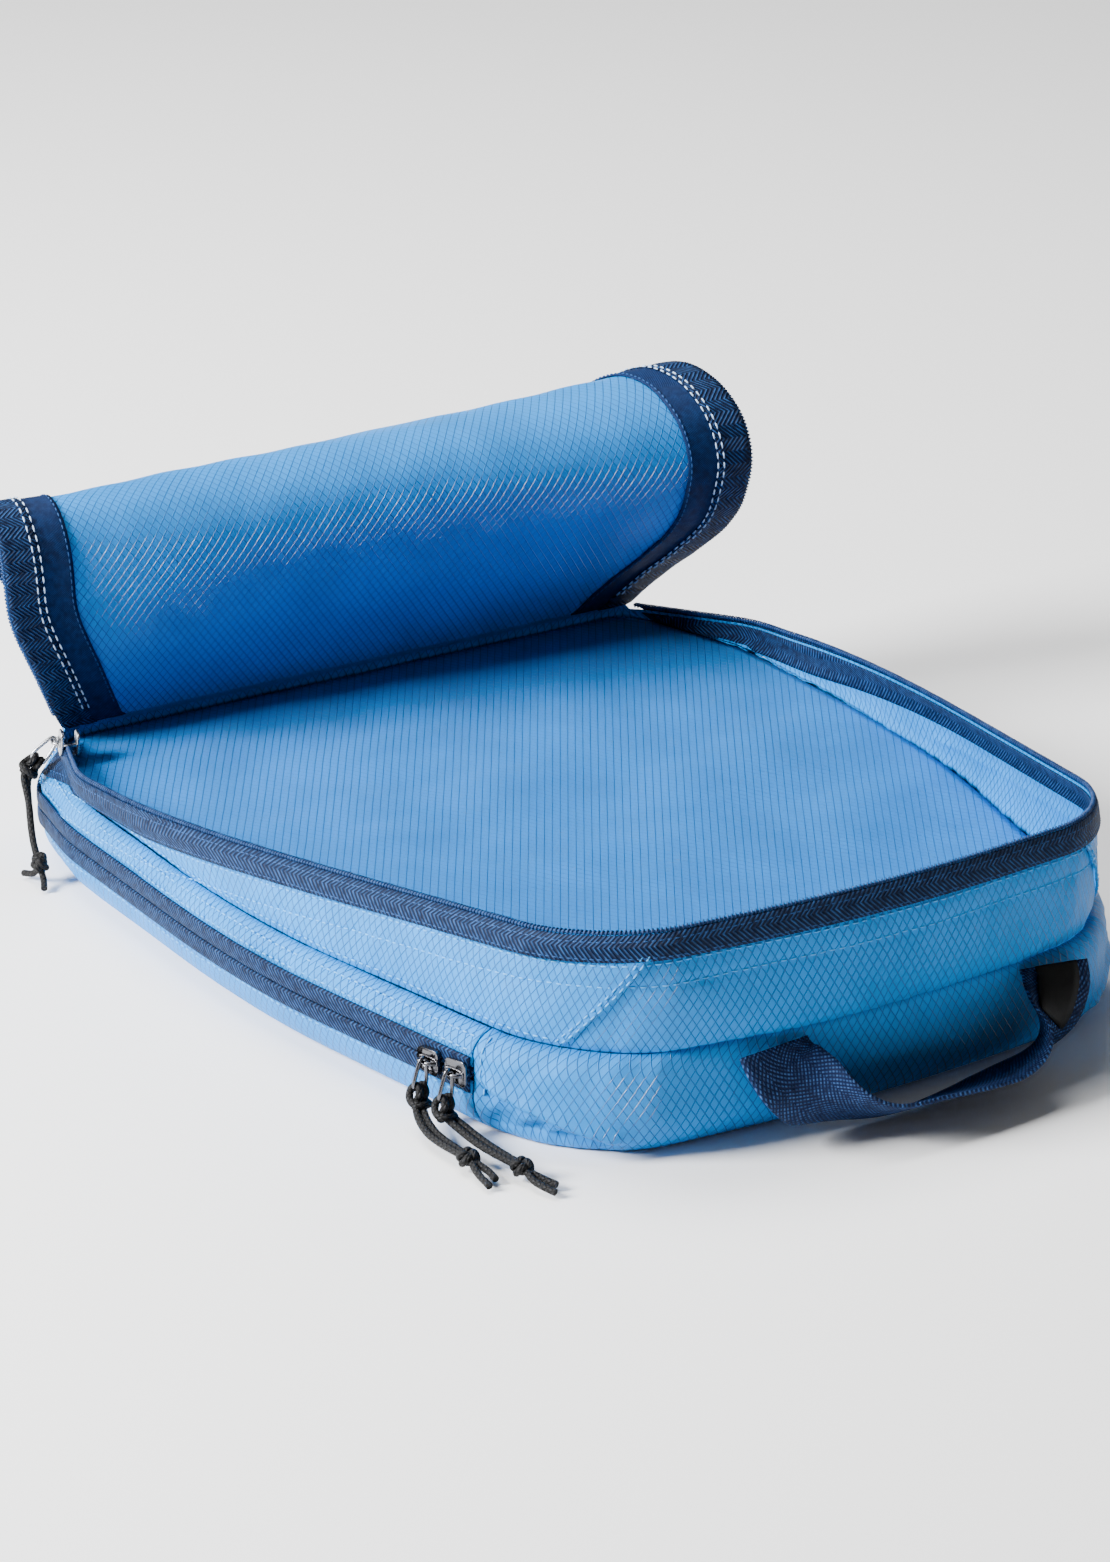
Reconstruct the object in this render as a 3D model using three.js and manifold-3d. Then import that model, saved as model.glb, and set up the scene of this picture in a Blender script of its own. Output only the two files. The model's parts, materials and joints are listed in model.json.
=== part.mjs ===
// A soft packing cube with two compartments, lying on its base.
// The top zip is open and its lid is rolled back over the rear wall.
// The lower zip is closed, with both of its sliders parked at the front left.
// Millimetres, +Z up, +Y towards the rear, +X to the right seen from the handle.
import * as THREE from "three";
import { mergeVertices } from "three/addons/utils/BufferGeometryUtils.js";
import Module from "manifold-3d";

const wasm = await Module();
wasm.setup();

// Cloth and clearances
const fabric = 1; // thickness of every cloth panel
const tape = 0.6; // thickness of the zip tape
const seamGap = 0.4; // between two panels that are sewn edge to edge
const clearance = 0.3; // between layers that lie on each other

// Heights
const seamHeight = 34.5; // the middle seam, where the divider is sewn in
const rimFrontRise = 41; // of the rim above the middle seam
const rimRearRise = 4;
const rimFrontHeight = seamHeight + rimFrontRise;
const rimRearHeight = seamHeight + rimRearRise; // the hinge line of the lid
const zipHeight = 20; // the lower zip runs level round three sides
const zipBand = 6; // the wall stands straight this far above and below it
const wallSwell = 2; // outward swell of the upper walls

// Plan of the walls at four heights, as half outlines from the front centre, in shares
// of the bag's half width and of its length behind the front datum.
const bagHalfWidth = 139.5; // at the belly of the lower zip
const bagLength = 329; // from the front datum to the rear wall at the lower zip
const planShares = {
  rim: {
    front: [0, -0.026],
    flat: [0.516, -0.009],
    corner: [0.753, 0.097],
    side: [0.867, 0.334],
    belly: [0.986, 0.717],
    shoulder: [0.961, 0.836],
    haunch: [0.842, 0.973],
    rear: [0.803, 0.98],
  },
  seam: {
    front: [0, -0.036],
    flat: [0.516, -0.012],
    corner: [0.789, 0.116],
    side: [0.91, 0.347],
    belly: [0.971, 0.653],
    shoulder: [0.957, 0.836],
    haunch: [0.875, 0.948],
    rear: [0.789, 0.985],
  },
  zip: {
    front: [0, -0.033],
    flat: [0.545, -0.015],
    corner: [0.839, 0.116],
    side: [0.95, 0.353],
    belly: [1, 0.653],
    shoulder: [0.996, 0.836],
    haunch: [0.961, 0.927],
    rear: [0.789, 1],
  },
  base: {
    front: [0, 0.006],
    flat: [0.53, 0.015],
    corner: [0.774, 0.116],
    side: [0.875, 0.353],
    belly: [0.925, 0.653],
    shoulder: [0.921, 0.827],
    haunch: [0.889, 0.906],
    rear: [0.738, 0.97],
  },
};
const stretches = [4, 6, 2, 4, 3, 2, 4, 2]; // facets of each stretch of a half outline
const turns = stretches.length; // station of the rear centre

// Seams of the walls, in stations along the outline
const flapTopStation = 1.06; // the side flap laps onto the front, slanting
const flapBottomStation = 1.6;
const zipEndStation = 2.03; // where the lower zip starts behind the front corner
const rearSeamStation = 6.3;

// Zips
const rimTapeWidth = 9;
const coilWidth = 1.6;
const coilDepth = 1.2;
const coilReach = 0.8; // the coil stands past the edge of its tape
const chainGap = 1.5; // between the two coils, for the slider's post

// Rolled lid: its profile at either end, seen from the side, as [distance behind the hinge,
// height above it] in shares of the height it stands to. It stands up, loops back over
// itself, drops behind the standing sheet and winds into a small roll. The right end
// leans well forward.
const lidStand = 92;
const lidSetForward = 0.7; // its first row lies this far in front of the rim's rear edge
const lidLeftShares = [
  [0, 0], [-0.047, 0.143], [-0.068, 0.317], [-0.068, 0.491], [-0.058, 0.643],
  [-0.02, 0.774], [0.067, 0.861], [0.176, 0.872], [0.263, 0.807], [0.29, 0.703],
  [0.236, 0.605], [0.133, 0.546], [0.035, 0.48], [-0.009, 0.372], [-0.009, 0.23],
  [0.035, 0.116], [0.127, 0.073], [0.214, 0.127], [0.252, 0.252], [0.247, 0.388],
  [0.182, 0.459], [0.105, 0.415], [0.078, 0.312], [0.095, 0.209], [0.143, 0.154],
  [0.187, 0.209], [0.198, 0.296],
];
const lidRightShares = [
  [0, 0], [-0.117, 0.143], [-0.27, 0.285], [-0.4, 0.426], [-0.509, 0.578],
  [-0.552, 0.741], [-0.487, 0.883], [-0.324, 0.98], [-0.107, 0.997], [0.1, 0.921],
  [0.22, 0.774], [0.23, 0.622], [0.143, 0.513], [0.046, 0.421], [0.002, 0.307],
  [0.018, 0.192], [0.089, 0.127], [0.176, 0.149], [0.209, 0.236], [0.192, 0.328],
  [0.133, 0.366], [0.078, 0.323], [0.073, 0.247], [0.111, 0.203], [0.143, 0.23],
  [0.146, 0.268], [0.128, 0.293],
];
const lidStep = 6;
const lidTapeWidth = 24;
const lidTapeLift = 0.5; // the lid's tape lies this far off its cloth
const lidMargin = 1.2; // the panel ends this far inside the lid's outline

// Handle: the strap hangs in a slack loop from two places on the middle seam. Its centre
// line from left to right is [x, distance in front of the seam, height], in shares of the
// bag's half width, the loop's reach and the seam's height.
const strapWidth = 25;
const strapThickness = 1.6;
const strapReach = 16.5;
const strapShares = [
  [-0.312, 0.236, 0.928], [-0.308, 0.388, 0.829], [-0.287, 0.582, 0.681], [-0.222, 0.788, 0.449],
  [-0.1, 0.97, 0.255], [0.072, 1, 0.226], [0.244, 0.97, 0.243], [0.351, 0.848, 0.377],
  [0.416, 0.642, 0.609], [0.452, 0.436, 0.812], [0.459, 0.279, 0.928],
];
const strapLeanShares = [0, 0.86, -0.51]; // its width direction where the loop hangs lowest
const strapTurnShare = 0.36; // of its length, over which it turns from flat to leaning
const strapSteps = 22;
const labelShare = 0.62; // of the strap's width
const labelLength = 18;
const labelThickness = 0.8;

// Zip slider, in its own frame: +X along the zip, +Y across it, +Z off the bag
const sliderLength = 9.5;
const sliderWidth = 8.8;
const sliderTailWidth = 7.4;
const sliderPlate = 1;
const sliderOuterFace = 1.4; // underside of the outer plate above the tape's back
const postWidth = 0.9;
const postLength = 3;
const flangeWidth = 1;
const bridgeRadius = 0.6;
const bridgeSpan = 6.6;
const wireRadius = 0.65;
const bailLength = 6.5; // from the bridge to the centre of the wide end
const bailEndRadius = 2.7;
const bailRoom = 0.55; // between the bridge and the bail, beyond the wire itself
const cordRadius = 1.2;
const knotRadii = [3.2, 3.2, 3.9];

// Where the sliders stand, behind the front datum, and how their bails hang
const lowerSliderPlace = 46.5; // of the front one of the two lower sliders
const sliderParkGap = 2; // between the two lower sliders
const topSliderInset = 19.4; // in front of the rim's rear edge
const lowerBailTilt = 12; // degrees off the wall
const topBailTilt = 38;

const blueCloth = 0x57aee8;
const blueInside = 0x4a9fd8;
const navyTape = 0x17406f;
const navyCoil = 0x122f55;
const navyStrap = 0x1d4677;
const blackCord = 0x161616;
const darkMetal = 0x3a3a3c;
const brightMetal = 0xb9bcc0;

const degree = Math.PI / 180;
const lerp = THREE.MathUtils.lerp;
const clamp = THREE.MathUtils.clamp;

// Solids

// A geometry of loose vertices and triangles, turned to face outwards.
function closedGeometry(points, triangles) {
  let volume = 0;
  for (const [a, b, c] of triangles) {
    volume += points[a].dot(points[b].clone().cross(points[c]));
  }
  const facing = volume < 0 ? triangles.map(([a, b, c]) => [a, c, b]) : triangles;
  const geometry = new THREE.BufferGeometry().setFromPoints(points);
  geometry.setIndex(facing.flat());
  geometry.computeVertexNormals();
  return geometry;
}

// A closed shell over a grid: point(i, j, face) is on face 0 or face 1.
function shell(columns, rows, point) {
  const points = [];
  const at = (i, j, face) => (face * (columns + 1) + i) * (rows + 1) + j;
  for (const face of [0, 1]) {
    for (let i = 0; i <= columns; i++) {
      for (let j = 0; j <= rows; j++) points.push(point(i, j, face));
    }
  }
  const triangles = [];
  const quad = (a, b, c, d) => triangles.push([a, b, c], [a, c, d]);
  for (let i = 0; i < columns; i++) {
    for (let j = 0; j < rows; j++) {
      quad(at(i, j, 0), at(i + 1, j, 0), at(i + 1, j + 1, 0), at(i, j + 1, 0));
      quad(at(i, j, 1), at(i, j + 1, 1), at(i + 1, j + 1, 1), at(i + 1, j, 1));
    }
    quad(at(i, 0, 1), at(i + 1, 0, 1), at(i + 1, 0, 0), at(i, 0, 0));
    quad(at(i, rows, 0), at(i + 1, rows, 0), at(i + 1, rows, 1), at(i, rows, 1));
  }
  for (let j = 0; j < rows; j++) {
    quad(at(0, j, 0), at(0, j + 1, 0), at(0, j + 1, 1), at(0, j, 1));
    quad(at(columns, j, 1), at(columns, j + 1, 1), at(columns, j + 1, 0), at(columns, j, 0));
  }
  return closedGeometry(points, triangles);
}

// A tube round a closed flat loop of points.
function loopTube(loop, normal, radius, sides) {
  const points = [];
  const count = loop.length;
  loop.forEach((centre, i) => {
    const along = loop[(i + 1) % count].clone().sub(loop[(i + count - 1) % count]);
    const across = along.normalize().cross(normal);
    for (let k = 0; k < sides; k++) {
      const angle = (2 * Math.PI * k) / sides;
      points.push(
        centre
          .clone()
          .addScaledVector(across, radius * Math.cos(angle))
          .addScaledVector(normal, radius * Math.sin(angle)),
      );
    }
  });
  const triangles = [];
  for (let i = 0; i < count; i++) {
    for (let k = 0; k < sides; k++) {
      const next = (i + 1) % count;
      const a = i * sides + k;
      const b = i * sides + ((k + 1) % sides);
      const c = next * sides + ((k + 1) % sides);
      const d = next * sides + k;
      triangles.push([a, b, c], [a, c, d]);
    }
  }
  return closedGeometry(points, triangles);
}

// A tube of regular section along an open curve.
function tube(curve, radius, sides, steps) {
  const section = new THREE.Shape();
  section.absarc(0, 0, radius, 0, 2 * Math.PI);
  const ring = new THREE.Shape(section.getPoints(sides).slice(0, sides));
  return new THREE.ExtrudeGeometry(ring, { steps, extrudePath: curve, curveSegments: 1 });
}

function plate(shape, thickness, bottom) {
  return new THREE.ExtrudeGeometry(shape, {
    depth: thickness,
    bevelEnabled: false,
    curveSegments: 4,
  }).translate(0, 0, bottom);
}

// A geometry as a solid that can be joined and cut.
function solid(geometry) {
  const bare = geometry.index ? geometry.toNonIndexed() : geometry.clone();
  bare.deleteAttribute("normal");
  bare.deleteAttribute("uv");
  const merged = mergeVertices(bare, fabric / 1e4);
  return new wasm.Manifold(
    new wasm.Mesh({
      numProp: 3,
      vertProperties: merged.attributes.position.array,
      triVerts: new Uint32Array(merged.index.array),
    }),
  );
}

function joined(...geometries) {
  const whole = geometries.map(solid).reduce((a, b) => a.add(b));
  const mesh = whole.getMesh();
  const geometry = new THREE.BufferGeometry();
  geometry.setAttribute("position", new THREE.BufferAttribute(mesh.vertProperties, 3));
  geometry.setIndex(new THREE.BufferAttribute(mesh.triVerts, 1));
  geometry.computeVertexNormals();
  return geometry;
}

function piece(name, geometry, color, roughness = 0.7, metalness = 0) {
  const material = new THREE.MeshStandardMaterial({ color, roughness, metalness });
  const mesh = new THREE.Mesh(geometry, material);
  mesh.name = name;
  return mesh;
}

// Walls: every panel and tape lies on one surface, read by station and level

// A record with each of its values changed.
function mapped(record, change) {
  return Object.fromEntries(Object.entries(record).map(([key, value]) => [key, change(value)]));
}

function halfOutline(plan) {
  const at = ([x, y]) => new THREE.Vector2(x, y);
  const between = (a, b, share) => at(a).lerp(at(b), share);
  const curve = (a, b, c, d) => new THREE.CubicBezierCurve(a, b, c, d);
  const line = (a, b) => new THREE.LineCurve(at(a), at(b));
  const { front, flat, corner, side, belly, shoulder, haunch, rear } = plan;
  const sideRun = at(side).sub(at(corner)).multiplyScalar(0.4);
  const cornerRun = sideRun.clone().multiplyScalar(0.5);
  const haunchRun = at(haunch).sub(at(shoulder)).multiplyScalar(0.3);
  const bellyRun = new THREE.Vector2(0, (belly[1] - side[1]) / 3);
  const rearBend = new THREE.Vector2(lerp(haunch[0], rear[0], 0.5), lerp(haunch[1], rear[1], 0.9));
  return [
    curve(at(front), new THREE.Vector2(flat[0] / 2, front[1]), between(flat, front, 0.2), at(flat)),
    curve(
      at(flat),
      new THREE.Vector2(lerp(flat[0], corner[0], 0.45), lerp(flat[1], corner[1], 0.08)),
      at(corner).sub(cornerRun),
      at(corner),
    ),
    line(corner, side),
    curve(at(side), at(side).add(sideRun), at(belly).sub(bellyRun), at(belly)),
    curve(at(belly), between(belly, shoulder, 0.4), at(shoulder).sub(haunchRun), at(shoulder)),
    line(shoulder, haunch),
    new THREE.QuadraticBezierCurve(at(haunch), rearBend, at(rear)),
    line(rear, [0, rear[1]]),
  ];
}

const plans = mapped(planShares, (plan) =>
  mapped(plan, ([x, y]) => [x * bagHalfWidth, y * bagLength]),
);
const outlines = mapped(plans, halfOutline);

// Stations run from 0 at the front centre to 8 at the rear centre on the right,
// and from 0 to -8 on the left. Past 8 they carry on round the left side.
function planPoint(outline, station) {
  const wrapped = station > turns ? station - 2 * turns : station;
  const folded = wrapped < -turns ? wrapped + 2 * turns : wrapped;
  const reach = Math.min(Math.abs(folded), turns - 1e-9);
  const stretch = Math.floor(reach);
  const point = outline[stretch].getPoint(reach - stretch);
  if (folded < 0) point.x = -point.x;
  return point;
}

function rimHeightAt(y) {
  const { front, rear } = plans.rim;
  const share = (y - front[1]) / (rear[1] - front[1]);
  return lerp(rimFrontHeight, rimRearHeight, share);
}

// Level 0 is the floor, 1 the middle seam and 2 the rim.
function wallPoint(station, level) {
  const seam = planPoint(outlines.seam, station);
  if (level > 1) {
    const rim = planPoint(outlines.rim, station);
    const share = level - 1;
    const plan = seam.lerp(rim, share);
    const z = lerp(seamHeight, rimHeightAt(rim.y), share);
    return new THREE.Vector3(plan.x, plan.y, z);
  }
  const z = Math.max(level, 0) * seamHeight;
  const zip = planPoint(outlines.zip, station);
  const bandLow = zipHeight - zipBand;
  const bandHigh = zipHeight + zipBand;
  if (z < bandLow) {
    const base = planPoint(outlines.base, station);
    const rise = 1 - z / bandLow;
    const plan = base.lerp(zip, Math.sqrt(1 - rise * rise));
    return new THREE.Vector3(plan.x, plan.y, z);
  }
  const ease = clamp((z - bandHigh) / (seamHeight - bandHigh), 0, 1);
  const plan = zip.lerp(seam, ease * ease);
  return new THREE.Vector3(plan.x, plan.y, z);
}

function wallAlong(station, level) {
  const step = 1e-3;
  return wallPoint(station + step, level).sub(wallPoint(station - step, level));
}

function wallUp(station, level) {
  const step = 1e-3;
  return wallPoint(station, level + step).sub(wallPoint(station, level - step));
}

// The wall's outward normal. Stations run anticlockwise seen from above.
function wallNormal(station, level) {
  const upper = level >= 2 ? 2 - 2e-3 : level;
  return wallAlong(station, upper).cross(wallUp(station, upper)).normalize();
}

function wallSkin(station, level, offset) {
  const rise = rimHeightAt(planPoint(outlines.rim, station).y) - seamHeight;
  const fullness = (wallSwell * rise) / (rimFrontHeight - seamHeight);
  const swell = level > 1 ? fullness * Math.sin(Math.PI * clamp(level - 1, 0, 1)) : 0;
  return wallPoint(station, level).addScaledVector(wallNormal(station, level), offset + swell);
}

const levelAt = (z) => z / seamHeight;

// The level a given height below the rim.
function levelBelowRim(station, drop) {
  const rim = rimHeightAt(planPoint(outlines.rim, station).y);
  const z = rim - drop;
  return z > seamHeight ? 1 + (z - seamHeight) / (rim - seamHeight) : levelAt(z);
}

// Facet stations from one station to another, both included.
function stationsBetween(from, to) {
  const marks = [];
  for (let turn = 0; turn < 2 * turns; turn++) {
    const stretch = turn < turns ? turn : 2 * turns - 1 - turn;
    for (let k = 0; k < stretches[stretch]; k++) marks.push(turn + k / stretches[stretch]);
  }
  const mirrored = marks.map((mark) => -mark);
  const least = 0.02;
  const inside = [...new Set([...marks, ...mirrored])]
    .filter((mark) => mark > from + least && mark < to - least)
    .sort((a, b) => a - b);
  return [from, ...inside, to];
}

// A wall panel: levels(station) lists its rows from the bottom up.
function wallPanel(from, to, levels, faces, warp = (station) => station) {
  const stations = stationsBetween(from, to);
  const rows = levels(from).length - 1;
  return shell(stations.length - 1, rows, (i, j, face) => {
    const level = levels(stations[i])[j];
    return wallSkin(warp(stations[i], level), level, faces[face]);
  });
}

// Half the sewn gap between two panels, in stations.
function halfSeam(station, level = 1) {
  return (seamGap * 1e-3) / wallAlong(station, level).length();
}

const cloth = [0, -fabric];
const skinFaces = [clearance, clearance + tape];
const coilFaces = [-fabric - clearance, -fabric - clearance - coilDepth];
const chainHalf = chainGap / 2;

// The side flaps lap onto the front with a slanting seam.
function flapStation(level) {
  return lerp(flapBottomStation, flapTopStation, clamp(level - 1, 0, 1));
}

function upperLevels(station) {
  const top = levelBelowRim(station, coilReach + fabric);
  const rise = rimHeightAt(planPoint(outlines.rim, station).y) - seamHeight;
  const bottom = 1 + seamGap / 2 / rise;
  const tapeFoot = Math.max(levelBelowRim(station, rimTapeWidth), lerp(bottom, top, 0.6));
  return [bottom, lerp(bottom, tapeFoot, 0.5), tapeFoot, top];
}

function frontPanelUpper() {
  const edge = flapBottomStation;
  const gap = 2 * halfSeam(edge);
  const warp = (station, level) => {
    const reach = Math.abs(station);
    if (reach <= 1) return station;
    const share = (reach - 1) / (edge - 1);
    return Math.sign(station) * lerp(1, flapStation(level) - gap, share);
  };
  return wallPanel(-edge, edge, upperLevels, cloth, warp);
}

function sidePanelUpper(side) {
  const start = flapBottomStation;
  const warp = (station, level) => {
    const reach = Math.abs(station);
    if (reach >= 2) return station;
    const share = (reach - start) / (2 - start);
    return Math.sign(station) * lerp(flapStation(level), 2, share);
  };
  const end = rearSeamStation - halfSeam(rearSeamStation);
  const [from, to] = side > 0 ? [start, end] : [-end, -start];
  return wallPanel(from, to, upperLevels, cloth, warp);
}

const bandTop = zipHeight + zipBand;
const bandBottom = zipHeight - zipBand;
const wallAboveZip = zipHeight + chainHalf + coilReach + fabric;
const wallBelowZip = zipHeight - chainHalf - coilReach - fabric;
const seamUnder = seamHeight - seamGap / 2;
const curlShares = [0, 0.08, 0.27, 0.55, 1]; // rows of the turn from the floor to the wall

const lowerLevels = () => [wallAboveZip, bandTop, lerp(bandTop, seamUnder, 0.5), seamUnder].map(levelAt);
const curlLevels = () => curlShares.map((share) => levelAt(bandBottom * share));

function frontPanelLower() {
  const edge = zipEndStation - halfSeam(zipEndStation);
  return wallPanel(-edge, edge, () => [...curlLevels(), ...lowerLevels().slice(1)], cloth);
}

function sidePanelLower(side) {
  const start = zipEndStation + halfSeam(zipEndStation);
  const end = rearSeamStation - halfSeam(rearSeamStation);
  const [from, to] = side > 0 ? [start, end] : [-end, -start];
  return wallPanel(from, to, lowerLevels, cloth);
}

function rearPanel() {
  const start = rearSeamStation + halfSeam(rearSeamStation);
  const rows = (station) => [...lowerLevels().slice(0, 3), 1, levelBelowRim(station, seamGap)];
  return wallPanel(start, 2 * turns - start, rows, cloth);
}

function baseSide(side) {
  const start = zipEndStation + halfSeam(zipEndStation);
  const end = rearSeamStation - halfSeam(rearSeamStation);
  const [from, to] = side > 0 ? [start, end] : [-end, -start];
  return wallPanel(from, to, () => [...curlLevels(), levelAt(wallBelowZip)], cloth);
}

function baseRear() {
  const start = rearSeamStation + halfSeam(rearSeamStation);
  const rows = () => [...curlLevels(), levelAt(wallBelowZip)];
  return wallPanel(start, 2 * turns - start, rows, cloth);
}

// A flat sheet inside the walls, at a given level and inset.
function floorSheet(level, inset, bottom) {
  const outline = stationsBetween(-turns, turns).slice(0, -1);
  const points = outline.map((station) => {
    const p = wallPoint(station, level);
    const n = wallNormal(station, Math.max(level, levelAt(bandBottom)));
    return new THREE.Vector2(p.x - n.x * inset, p.y - n.y * inset);
  });
  return plate(new THREE.Shape(points), fabric, bottom);
}

// The lower zip is a U from one front corner round the rear to the other.
function lowerZipBand(low, high, faces) {
  const start = zipEndStation + halfSeam(zipEndStation);
  const levels = () => [levelAt(low), levelAt(high)];
  return wallPanel(start, 2 * turns - start, levels, faces);
}

function rimZipBand(low, high, faces) {
  const end = turns - 2 + 0.9 * halfSeam(turns - 2);
  const levels = (station) => {
    const foot = levelBelowRim(station, low);
    const top = levelBelowRim(station, high);
    return [foot, Math.max(1, lerp(foot, top, 0.5)), top];
  };
  return wallPanel(-end, end, levels, faces);
}

// Lid: the rim's outline laid out from the hinge line along the rolled profile
const lidHinge = new THREE.Vector2(plans.rim.rear[1] - lidSetForward, rimRearHeight + clearance);
const lidProfiles = [lidLeftShares, lidRightShares].map((shares) =>
  shares.map(([back, up]) => new THREE.Vector2(back, up).multiplyScalar(lidStand).add(lidHinge)),
);
const lidEnds = lidProfiles.map((profile) => new THREE.SplineCurve(profile));
const lidMiddle = new THREE.SplineCurve(
  lidProfiles[0].map((point, i) => point.clone().lerp(lidProfiles[1][i], 0.5)),
);
lidMiddle.arcLengthDivisions = 400;
const lidLength = plans.rim.rear[1] - plans.rim.front[1] + coilReach;

// A point of the lid: across from the centre line, along from the hinge line.
function lidPoint(across, along) {
  const share = lidMiddle.getUtoTmapping(clamp(along / lidLength, 0, 1));
  const [left, right] = lidEnds.map((curve) => curve.getPoint(share));
  const side = across / (2 * plans.rim.belly[0]) + 0.5;
  const profile = left.lerp(right, clamp(side, 0, 1));
  return new THREE.Vector3(across, profile.x, profile.y);
}

// Offsets count towards the side of the lid that faces down when it is closed.
function lidSkin(across, along, offset) {
  const step = fabric / 2;
  const low = clamp(along - step, 0, lidLength - step);
  const run = lidPoint(across, low + step).sub(lidPoint(across, low));
  const normal = new THREE.Vector3(1, 0, 0).cross(run).normalize();
  return lidPoint(across, along).addScaledVector(normal, offset);
}

// The lid's half width at a distance from the hinge line.
function lidHalfWidth(along) {
  const y = plans.rim.rear[1] - along;
  const marks = stationsBetween(0, turns - 1).map((station) => planPoint(outlines.rim, station));
  for (let i = 1; i < marks.length; i++) {
    const [a, b] = [marks[i - 1], marks[i]];
    if (y <= b.y && y >= a.y) return lerp(a.x, b.x, (y - a.y) / (b.y - a.y));
  }
  return marks[marks.length - 1].x;
}

// Rows of the lid from the hinge line to its front edge, and the row where the
// tape turns across the front.
const lidFront = lidLength - lidMargin - coilReach;
const lidRowCount = Math.round(lidFront / lidStep);
const lidRows = Array.from({ length: lidRowCount + 1 }, (_, j) => (lidFront * j) / lidRowCount);
const lidTurnRow = lidRows.findIndex((along) => along > lidFront - lidTapeWidth);

// Columns of the lid in one row: the tape's width at either side, cloth between.
function lidColumns(along) {
  const outer = lidHalfWidth(along) - lidMargin;
  const inner = Math.max(outer - lidTapeWidth, outer / 3);
  return [-outer, -inner, -inner / 3, inner / 3, inner, outer];
}

function lidPatch(firstColumn, lastColumn, firstRow, lastRow, faces) {
  return shell(lastColumn - firstColumn, lastRow - firstRow, (i, j, face) => {
    const along = lidRows[firstRow + j];
    return lidSkin(lidColumns(along)[firstColumn + i], along, faces[face]);
  });
}

function lidPanel() {
  return lidPatch(0, 5, 0, lidRowCount, [-fabric / 2, fabric / 2]);
}

// The tape runs up one side, across the front and down the other side.
function lidTape() {
  const near = fabric / 2 + lidTapeLift;
  const faces = [near, near + tape];
  return joined(
    lidPatch(0, 1, 1, lidTurnRow + 1, faces),
    lidPatch(4, 5, 1, lidTurnRow + 1, faces),
    lidPatch(0, 5, lidTurnRow, lidRowCount, faces),
  );
}

// The coil runs round the lid's edge, just off the cloth.
function lidCoil() {
  const right = lidRows.slice(2).map((along) => {
    return new THREE.Vector2(lidColumns(along)[5], along);
  });
  const left = right.map((p) => new THREE.Vector2(-p.x, p.y)).reverse();
  const edge = [...right, ...left];
  const outward = edge.map((_, i) => {
    const before = edge[Math.max(i - 1, 0)];
    const run = edge[Math.min(i + 1, edge.length - 1)].clone().sub(before).normalize();
    return new THREE.Vector2(run.y, -run.x);
  });
  return shell(edge.length - 1, 1, (i, j, face) => {
    const p = edge[i].clone().addScaledVector(outward[i], lidTapeLift + j * coilWidth);
    return lidSkin(p.x, p.y, face ? coilDepth / 2 : -coilDepth / 2);
  });
}

// Handle: a strap whose ends lie in the middle seam and whose loop hangs forward
function strapStations() {
  const curve = new THREE.CatmullRomCurve3(
    strapShares.map(([across, out, up]) => {
      const seam = wallAtSeam(across * bagHalfWidth);
      return new THREE.Vector3(seam.x, seam.y - out * strapReach, up * seamHeight);
    }),
  );
  return Array.from({ length: strapSteps + 1 }, (_, k) => {
    const share = k / strapSteps;
    return { share, centre: curve.getPointAt(share) };
  });
}

// The point of the front wall's middle seam at a given x.
function wallAtSeam(x) {
  let [low, high] = [0, 2];
  for (let k = 0; k < 30; k++) {
    const middle = (low + high) / 2;
    if (wallPoint(middle, 1).x < Math.abs(x)) low = middle;
    else high = middle;
  }
  const p = wallPoint(low, 1);
  return new THREE.Vector3(x, p.y, p.z);
}

function strapFrame(stations, k) {
  const before = stations[Math.max(k - 1, 0)].centre;
  const after = stations[Math.min(k + 1, stations.length - 1)].centre;
  const along = after.clone().sub(before).normalize();
  const share = stations[k].share;
  const turn = THREE.MathUtils.smoothstep(Math.min(share, 1 - share), 0, strapTurnShare);
  const flat = new THREE.Vector3(share < 0.5 ? -1 : 1, 0, 0);
  const width = flat.lerp(new THREE.Vector3(...strapLeanShares), turn).normalize();
  width.addScaledVector(along, -width.dot(along)).normalize();
  return { along, width, normal: along.clone().cross(width).normalize() };
}

// Across the strap: its two edges, the label's two edges and the middle.
const strapColumns = [-0.5, -labelShare / 2, 0, labelShare / 2, 0.5];

function strap() {
  const stations = strapStations();
  return shell(stations.length - 1, 4, (i, j, face) => {
    const { width, normal } = strapFrame(stations, i);
    return stations[i].centre
      .clone()
      .addScaledVector(width, strapColumns[j] * strapWidth)
      .addScaledVector(normal, (face - 0.5) * strapThickness);
  });
}

// A folded label over the strap's right end, bare.
function label() {
  const stations = strapStations();
  const count = stations.length - 1;
  let first = count;
  while (stations[first].centre.distanceTo(stations[count].centre) < labelLength) first -= 1;
  const lift = strapThickness / 2 + clearance;
  return shell(count - first, 2, (i, j, face) => {
    const { centre } = stations[first + i];
    const { width, normal } = strapFrame(stations, first + i);
    return centre
      .clone()
      .addScaledVector(width, strapColumns[j + 1] * strapWidth)
      .addScaledVector(normal, -(lift + face * labelThickness));
  });
}

// Zip sliders

function shieldShape() {
  const nose = sliderLength / 2;
  const wide = sliderWidth / 2;
  const narrow = sliderTailWidth / 2;
  const shape = new THREE.Shape();
  shape.moveTo(-nose, -narrow);
  shape.lineTo(nose - wide / 2, -wide);
  shape.quadraticCurveTo(nose, -wide, nose, -wide / 2);
  shape.lineTo(nose, wide / 2);
  shape.quadraticCurveTo(nose, wide, nose - wide / 2, wide);
  shape.lineTo(-nose, narrow);
  return shape;
}

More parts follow.
